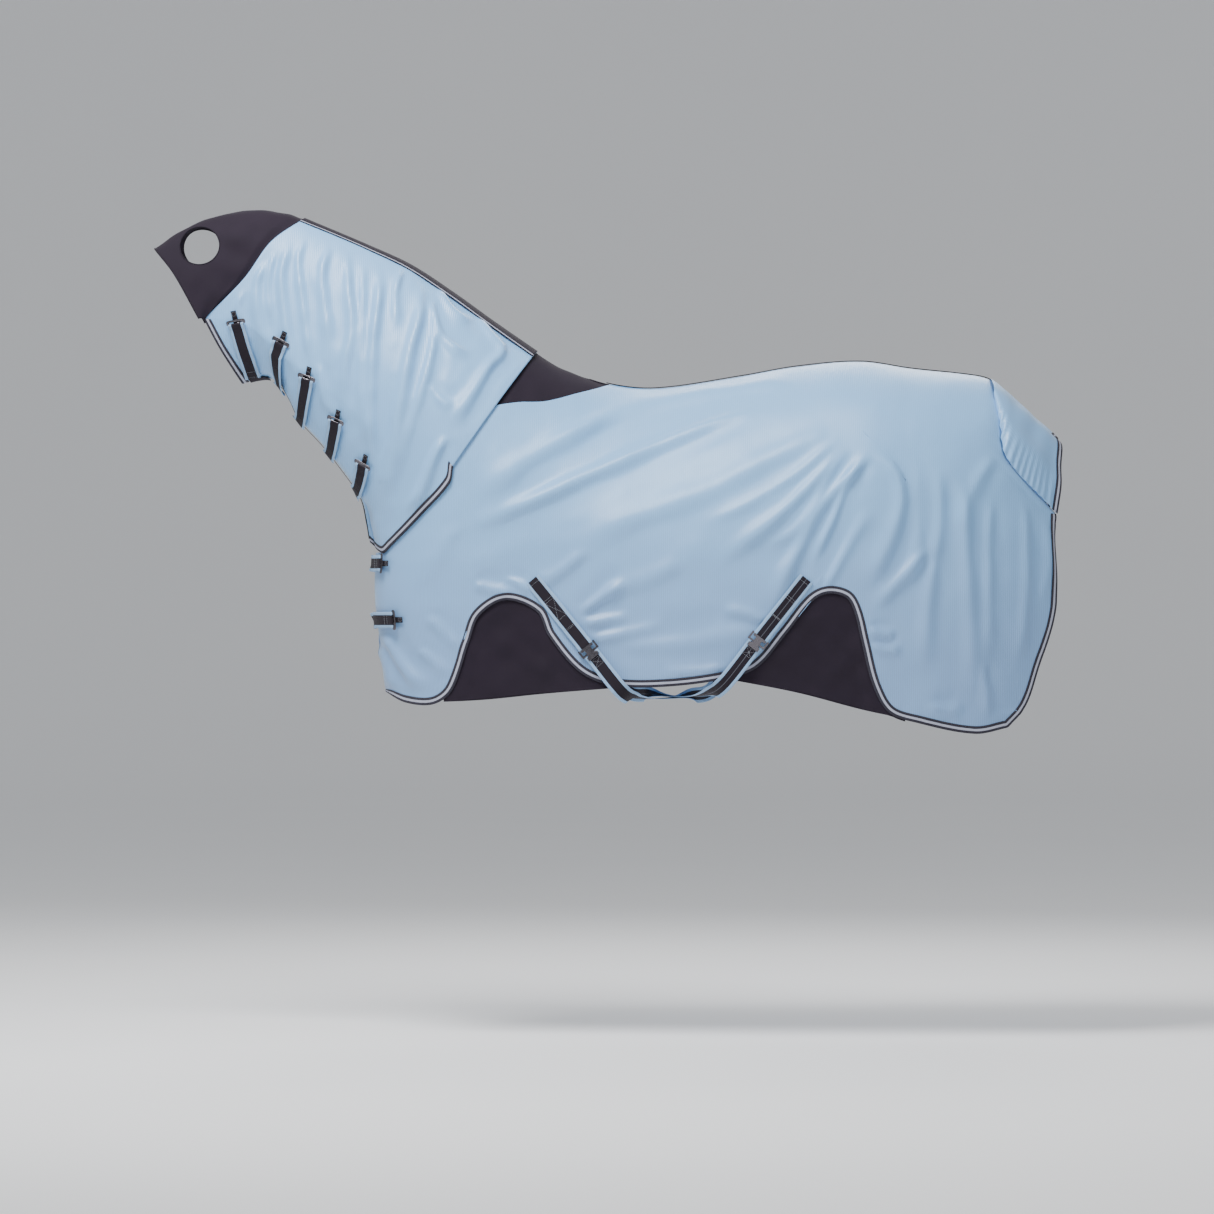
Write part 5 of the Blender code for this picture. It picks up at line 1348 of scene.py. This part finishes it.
def make_chest_straps():
    catch_lines = []
    for word, z, reach_left in CHEST_STRAPS:
        points, normals = [], []
        for s in np.linspace(-1.0, 1.0, 61)[::-1]:
            side, reach = (LEFT, reach_left) if s < 0.0 else (RIGHT, CHEST_STRAP_ROOT)
            x = float(chest_front(z)) + reach * s * s
            level = np.array([x]), np.array([z])
            middle = s * s < 1e-6
            normal = np.array((-1.0, 0.0, 0.0)) if middle else body_normal(*level, side)[0]
            point = np.array((x, 0.0, z)) if middle else on_body(*level, side)[0]
            points.append(point + normal * TAB_LIFT)
            normals.append(normal)
        points, normals = np.array(points), np.array(normals)
        catch_lines += catch_object("chest", word, points, normals)
        for _ in range(8):
            points[1:-1] = 0.25 * points[:-2] + 0.5 * points[1:-1] + 0.25 * points[2:]
        fastening("chest", word, f"chest_strap_{word}", f"chest_fastening_{word}", points, normals,
                  ((0.006, 0.030), (-0.034, 0.012)))
    stitches("chest_catch_thread", catch_lines, finish("light_thread"), "sheet")


def surcingle_line(ends, side):
    """The straight line of a surcingle's sewn webbing in the frame: ends, direction and normal."""
    top, low = (np.array(end) for end in ends)
    normal = unit(body_normal(*top[:, None], side)[0] + body_normal(*low[:, None], side)[0])
    start = on_body(*top[:, None], side)[0] + normal * WEB_STAND_OFF
    end = on_body(*low[:, None], side)[0] + normal * STRAP_LIFT
    along = unit(end - start)
    across = unit(np.cross(along, normal))
    return start, end, along, unit(np.cross(across, along))


def make_surcingles():
    lines = []
    for word, side in SIDES:
        for place, ends in (SURCINGLE_LEFT if side == LEFT else SURCINGLE_RIGHT).items():
            start, end, along, normal = surcingle_line(ends, side)
            share = np.linspace(0.0, 1.0, 60)
            points = start + (end - start) * share[:, None]
            ground = body_lift(points[:, 0], points[:, 2], side)
            straight_from = 0.35 if side == LEFT else 0.05   # a slider travels on the right side's lower half
            settle = WEB_STAND_OFF - SEWN_LIFT - ground
            settle = settle * (1.0 - smooth((share - straight_from) / 0.4))
            points = points - normal * settle[:, None]
            normals = np.tile(normal, (len(points), 1))
            path = points, normals
            if side == LEFT:
                path = looped_end(points - along * 0.0006, normals, radius=0.0026)
            web = web_object(f"surcingle_web_{place}_{word}", *path)
            look = "woven_webbing" if place == "front" else "webbing_lined"
            finish_piece(web, finish(look), "webbing", "sheet", f"surcingle_{place}_{word}")
            lines += end_box(points, normals, 0.026, 0.010, 0.050)
            lines += end_box(points, normals, 0.026, 0.066, 0.052, cross=place == "front")
            length = np.linalg.norm(end - start)
            lines += end_box(points, normals, 0.030, length - 0.060, 0.003)[2:]
    stitches("surcingle_thread", lines, finish("light_thread"), "sheet")
    for place in ("front", "rear"):
        metal_part(f"{place}_plate", f"{place}_slotted_plate", "sheet")
        metal_part(f"{place}_slider", f"{place}_slide_buckle", f"{place}_adjuster")
        metal_part(f"{place}_hook", f"{place}_tee_hook", f"{place}_hook_pivot")


def strap_normals(points, first, last):
    """Normals that turn from one end's to straight down under the belly, and on to the other end's."""
    t = np.linspace(0.0, 1.0, len(points))
    share = smooth((0.5 - np.abs(t - 0.5) - 0.185) / 0.22)[:, None]
    near = np.where(t[:, None] < 0.5, first, last)
    guess = near * (1.0 - share) + np.array((0.0, 0.0, -1.0)) * share
    along = unit(np.gradient(points, axis=0))
    return unit(guess - along * np.sum(guess * along, axis=1, keepdims=True))


def make_belly_straps():
    for near, far, sign in (("front", "rear", -1.0), ("rear", "front", 1.0)):
        _, end, along, normal = surcingle_line(SURCINGLE_LEFT[near], LEFT)
        first = end + along * (PLATE_DEPTH + 0.0016)
        _, far_end, far_along, far_normal = surcingle_line(SURCINGLE_RIGHT[far], RIGHT)
        last = far_end + far_along * 0.001
        middle = 0.5 * (first + last)
        middle[1:] = 0.0, BELLY_LOW + sign * STRAP_CROSS_GAP
        run_in = first + along * STRAP_RUN_IN
        run_out = last + far_along * STRAP_RUN_OUT
        turn_in = run_in * 0.60 + middle * 0.40
        turn_out = run_out * 0.60 + middle * 0.40
        turn_in[2] = run_in[2] + (middle[2] - run_in[2]) * 0.75
        turn_out[2] = run_out[2] + (middle[2] - run_out[2]) * 0.75
        route = Line([first, run_in, turn_in, middle, turn_out, run_out, last])
        stations = np.linspace(0.0, 1.0, 30)
        coarse = route.at(stations)
        share = resample(coarse, 0.005)[1]
        path = route.at(share)
        normals = unit(read_off(share, stations, strap_normals(coarse, normal, far_normal)))
        strap = web_object(f"belly_web_{near}", path, normals)
        look, body = "webbing_lined" if near == "rear" else "woven_webbing", f"belly_fastening_{near}"
        finish_piece(strap, finish(look), "webbing", None, f"belly_strap_{near}")
        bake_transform(strap)
        lines = end_box(path, normals, WEB_WIDTH - 0.012, 0.016, 0.020, cross=True)
        stitches(f"belly_thread_{near}", lines, finish("light_thread"), body)


# ---------------------------------------------------------------- stage
def make_stage():
    """Pale floor that curves up into a wall, soft lights and a long-lens camera on the left side."""
    look = settings()
    low, high = CAD_BOX
    middle = [0.5 * (a + b) for a, b in zip(low, high)]
    floor_z = -look.withers_height
    bend, round_over = look.backdrop_distance, 4.0
    profile = [(-2.0 * bend, floor_z), (bend, floor_z)]
    profile += [(bend + round_over * math.sin(a), floor_z + round_over * (1.0 - math.cos(a)))
                for a in np.linspace(0.1, 0.5 * math.pi, 14)]
    profile += [(bend + round_over, 1.5 * bend)]
    points = np.array([[(x, y, z) for y, z in profile] for x in (-2.0 * bend, 2.0 * bend)])
    floor = add_mesh("studio_floor", points, grid_faces(2, len(profile))[:, ::-1])
    made, tree, shader = new_finish("studio_paper", (0.86, 0.86, 0.86), 0.9)
    objects = add_node(tree, "TexCoord").outputs["Object"]
    paper = mixed(tree, noise(tree, objects, 0.8), (0.93, 0.93, 0.94), (0.96, 0.96, 0.96))
    tree.links.new(paper, shader.inputs["Base Color"])
    floor.data.materials.append(made)
    scene = bpy.context.scene
    world = bpy.data.worlds.new("studio_air")
    scene.world = world
    world.use_nodes = True
    world.node_tree.nodes["Background"].inputs["Color"].default_value = (0.93, 0.96, 1.0, 1.0)
    world.node_tree.nodes["Background"].inputs["Strength"].default_value = look.air_strength
    for name, place, size, power in (("key_light", (middle[0] - 1.3, -2.1, 3.1), 1.8, look.key_power),
                                     ("fill_light", (middle[0] + 1.5, -6.0, 0.6), 4.0, look.key_power * 0.16),
                                     ("back_light", (middle[0] + 0.8, 3.4, 2.2), 2.5, look.key_power * 0.30)):
        data = bpy.data.lights.new(name, "AREA")
        data.shape = "SQUARE"
        data.size = size
        data.energy = power
        light = bpy.data.objects.new(name, data)
        light.location = place
        aim = Vector((middle[0], 0.0, middle[2] + 0.1)) - Vector(place)
        light.rotation_euler = aim.to_track_quat("-Z", "Y").to_euler()
        scene.collection.objects.link(light)
    camera_data = bpy.data.cameras.new("camera")
    camera_data.sensor_width = SENSOR
    camera_data.lens = SENSOR * look.camera_distance / look.view_width
    camera_data.clip_end = 100.0
    camera = bpy.data.objects.new("camera", camera_data)
    camera.location = (middle[0] + look.view_offset[0], low[1] - look.camera_distance, look.view_offset[1])
    camera.rotation_euler = (0.5 * math.pi, 0.0, 0.0)
    scene.collection.objects.link(camera)
    scene.camera = camera


# ---------------------------------------------------------------- the add-on
class FlySheetLooks(PropertyGroup):
    """Sizes and colours that a user would change."""

    mesh_colour: FloatVectorProperty(name="Mesh", description="Colour of the ribbed mesh", subtype="COLOR",
                                     default=(0.23, 0.46, 0.77), min=0.0, max=1.0)
    # Painted shade: the greyer colour that the mesh is given towards the bottom.
    mesh_painted_shade: FloatVectorProperty(name="Mesh shade", description="Greyer tone of the mesh low down",
                                    subtype="COLOR", default=(0.19, 0.29, 0.50), min=0.0, max=1.0)
    mesh_roughness: FloatProperty(name="Mesh roughness", description="Lower is glossier satin", default=0.34,
                                  min=0.0, max=1.0, subtype="FACTOR")
    rib_pitch: FloatProperty(name="Rib pitch", description="Distance between two upright ribs",
                             default=0.0046, min=0.001, max=0.02, unit="LENGTH")
    stretch_colour: FloatVectorProperty(name="Stretch", description="Colour of the stretch knit",
                                        subtype="COLOR", default=(0.011, 0.0065, 0.014), min=0.0, max=1.0)
    binding_colour: FloatVectorProperty(name="Binding", description="Dark colour of the binding",
                                        subtype="COLOR", default=(0.012, 0.008, 0.016), min=0.0, max=1.0)
    binding_stripe: FloatVectorProperty(name="Stripe", description="Silver stripe of the binding",
                                        subtype="COLOR", default=(0.40, 0.42, 0.52), min=0.0, max=1.0)
    webbing_colour: FloatVectorProperty(name="Webbing", description="Centre of the webbing", subtype="COLOR",
                                        default=(0.014, 0.010, 0.016), min=0.0, max=1.0)
    webbing_edge: FloatVectorProperty(name="Webbing edge", description="Edges of the webbing",
                                      subtype="COLOR", default=(0.30, 0.48, 0.72), min=0.0, max=1.0)
    nickel_colour: FloatVectorProperty(name="Nickel", description="Colour of the plated metal",
                                       subtype="COLOR", default=(0.16, 0.15, 0.17), min=0.0, max=1.0)
    body_folds: FloatProperty(name="Body folds", description="Depth of the body panels' folds", default=1.5,
                              min=0.0, max=2.0, subtype="FACTOR")
    neck_folds: FloatProperty(name="Neck folds", description="Depth of the neck cover's folds", default=1.6,
                              min=0.0, max=2.0, subtype="FACTOR")
    withers_height: FloatProperty(name="Withers height", description="Floor to withers", default=1.65,
                                  min=0.5, max=3.0, unit="LENGTH")
    camera_distance: FloatProperty(name="Camera distance", description="From the near side", default=14.0,
                                   min=2.0, max=40.0, unit="LENGTH")
    backdrop_distance: FloatProperty(name="Backdrop", description="To where the floor curves up",
                                     default=18.0, min=4.0, max=60.0, unit="LENGTH")
    view_width: FloatProperty(name="View width", description="Width seen at the near side", default=2.938,
                              min=1.0, max=6.0, unit="LENGTH")
    view_offset: FloatVectorProperty(name="View offset", description="Aim past the middle, and aim height",
                                     size=2, default=(0.0, -0.5908), unit="LENGTH")
    key_power: FloatProperty(name="Key light", description="Power of the main light", default=300.0, min=0.0,
                             max=3000.0, unit="POWER")
    air_strength: FloatProperty(name="Air light", description="Strength of the even light", default=0.50,
                                min=0.0, max=5.0)


def run_maker(maker):
    """Makes one group of pieces. An error is raised if nothing was made."""
    before = set(bpy.data.objects)
    maker()
    if set(bpy.data.objects) == before:
        raise RuntimeError(maker.__name__ + " made no pieces")
    return {"FINISHED"}


class MakeStage(Operator):
    """Make the floor, the lights and the camera"""

    bl_idname = "fly_sheet.make_stage"
    bl_label = "Stage"

    def execute(self, context):
        return run_maker(make_stage)


class MakeBodyPanels(Operator):
    """Make the two body panels of ribbed mesh with their folds"""

    bl_idname = "fly_sheet.make_body_panels"
    bl_label = "Body panels"

    def execute(self, context):
        return run_maker(make_body_panels)


class MakeNeckPanels(Operator):
    """Make the two sides of the neck cover with their upright folds"""

    bl_idname = "fly_sheet.make_neck_panels"
    bl_label = "Neck cover"

    def execute(self, context):
        return run_maker(make_neck_panels)


class MakeGussets(Operator):
    """Make the dark stretch gussets in the arches"""

    bl_idname = "fly_sheet.make_gussets"
    bl_label = "Gussets"

    def execute(self, context):
        return run_maker(make_gussets)


class MakeWithersPanel(Operator):
    """Make the dark stretch panel over the withers"""

    bl_idname = "fly_sheet.make_withers_panel"
    bl_label = "Withers panel"

    def execute(self, context):
        return run_maker(make_withers_panel)


class MakePollHood(Operator):
    """Make the poll hood with its ear holes and hems"""

    bl_idname = "fly_sheet.make_poll_hood"
    bl_label = "Poll hood"

    def execute(self, context):
        return run_maker(make_poll_hood)


class MakeTailFlap(Operator):
    """Make the tail flap and its binding"""

    bl_idname = "fly_sheet.make_tail_flap"
    bl_label = "Tail flap"

    def execute(self, context):
        return run_maker(make_tail_flap)


class MakeEdgeBindings(Operator):
    """Make the striped binding along each side's edge"""

    bl_idname = "fly_sheet.make_edge_bindings"
    bl_label = "Edge bindings"

    def execute(self, context):
        return run_maker(make_edge_bindings)


class MakeNeckBindings(Operator):
    """Make the bindings and bands of the neck cover"""

    bl_idname = "fly_sheet.make_neck_bindings"
    bl_label = "Neck bindings"

    def execute(self, context):
        return run_maker(make_neck_bindings)


class MakeSpineTape(Operator):
    """Make the tape over the spine seam"""

    bl_idname = "fly_sheet.make_spine_tape"
    bl_label = "Spine tape"

    def execute(self, context):
        return run_maker(make_spine_tape)


class MakeNeckTabs(Operator):
    """Make the five fastening tabs under the neck"""

    bl_idname = "fly_sheet.make_neck_tabs"
    bl_label = "Neck tabs"

    def execute(self, context):
        return run_maker(make_neck_tabs)


class MakeChestStraps(Operator):
    """Make the two straps across the chest"""

    bl_idname = "fly_sheet.make_chest_straps"
    bl_label = "Chest straps"

    def execute(self, context):
        return run_maker(make_chest_straps)


class MakeSurcingles(Operator):
    """Make the sewn webbing on the sides with its plates, hooks and sliders"""

    bl_idname = "fly_sheet.make_surcingles"
    bl_label = "Surcingles"

    def execute(self, context):
        return run_maker(make_surcingles)


class MakeBellyStraps(Operator):
    """Make the two crossed straps under the belly"""

    bl_idname = "fly_sheet.make_belly_straps"
    bl_label = "Belly straps"

    def execute(self, context):
        return run_maker(make_belly_straps)


MAKERS = (MakeStage, MakeBodyPanels, MakeNeckPanels, MakeGussets, MakeWithersPanel, MakePollHood,
          MakeTailFlap, MakeEdgeBindings, MakeNeckBindings, MakeSpineTape, MakeNeckTabs,
          MakeChestStraps, MakeSurcingles, MakeBellyStraps)


class FlySheetPanel(Panel):
    """Lists the pieces to make, and their sizes and colours."""

    bl_idname = "VIEW3D_PT_fly_sheet"
    bl_label = "Fly Sheet"
    bl_space_type = "VIEW_3D"
    bl_region_type = "UI"
    bl_category = "Fly Sheet"

    def draw(self, context):
        for name in FlySheetLooks.__annotations__:
            self.layout.prop(context.scene.fly_sheet_looks, name)
        for maker in MAKERS:
            self.layout.operator(maker.bl_idname)


def register():
    for kind in (FlySheetLooks, *MAKERS, FlySheetPanel):
        bpy.utils.register_class(kind)
    bpy.types.Scene.fly_sheet_looks = PointerProperty(type=FlySheetLooks)


def unregister():
    del bpy.types.Scene.fly_sheet_looks
    for kind in (FlySheetPanel, *reversed(MAKERS), FlySheetLooks):
        bpy.utils.unregister_class(kind)


def main():
    register()
    for maker in MAKERS:
        group, name = maker.bl_idname.split(".")
        getattr(getattr(bpy.ops, group), name)()


if __name__ == "__main__":
    main()
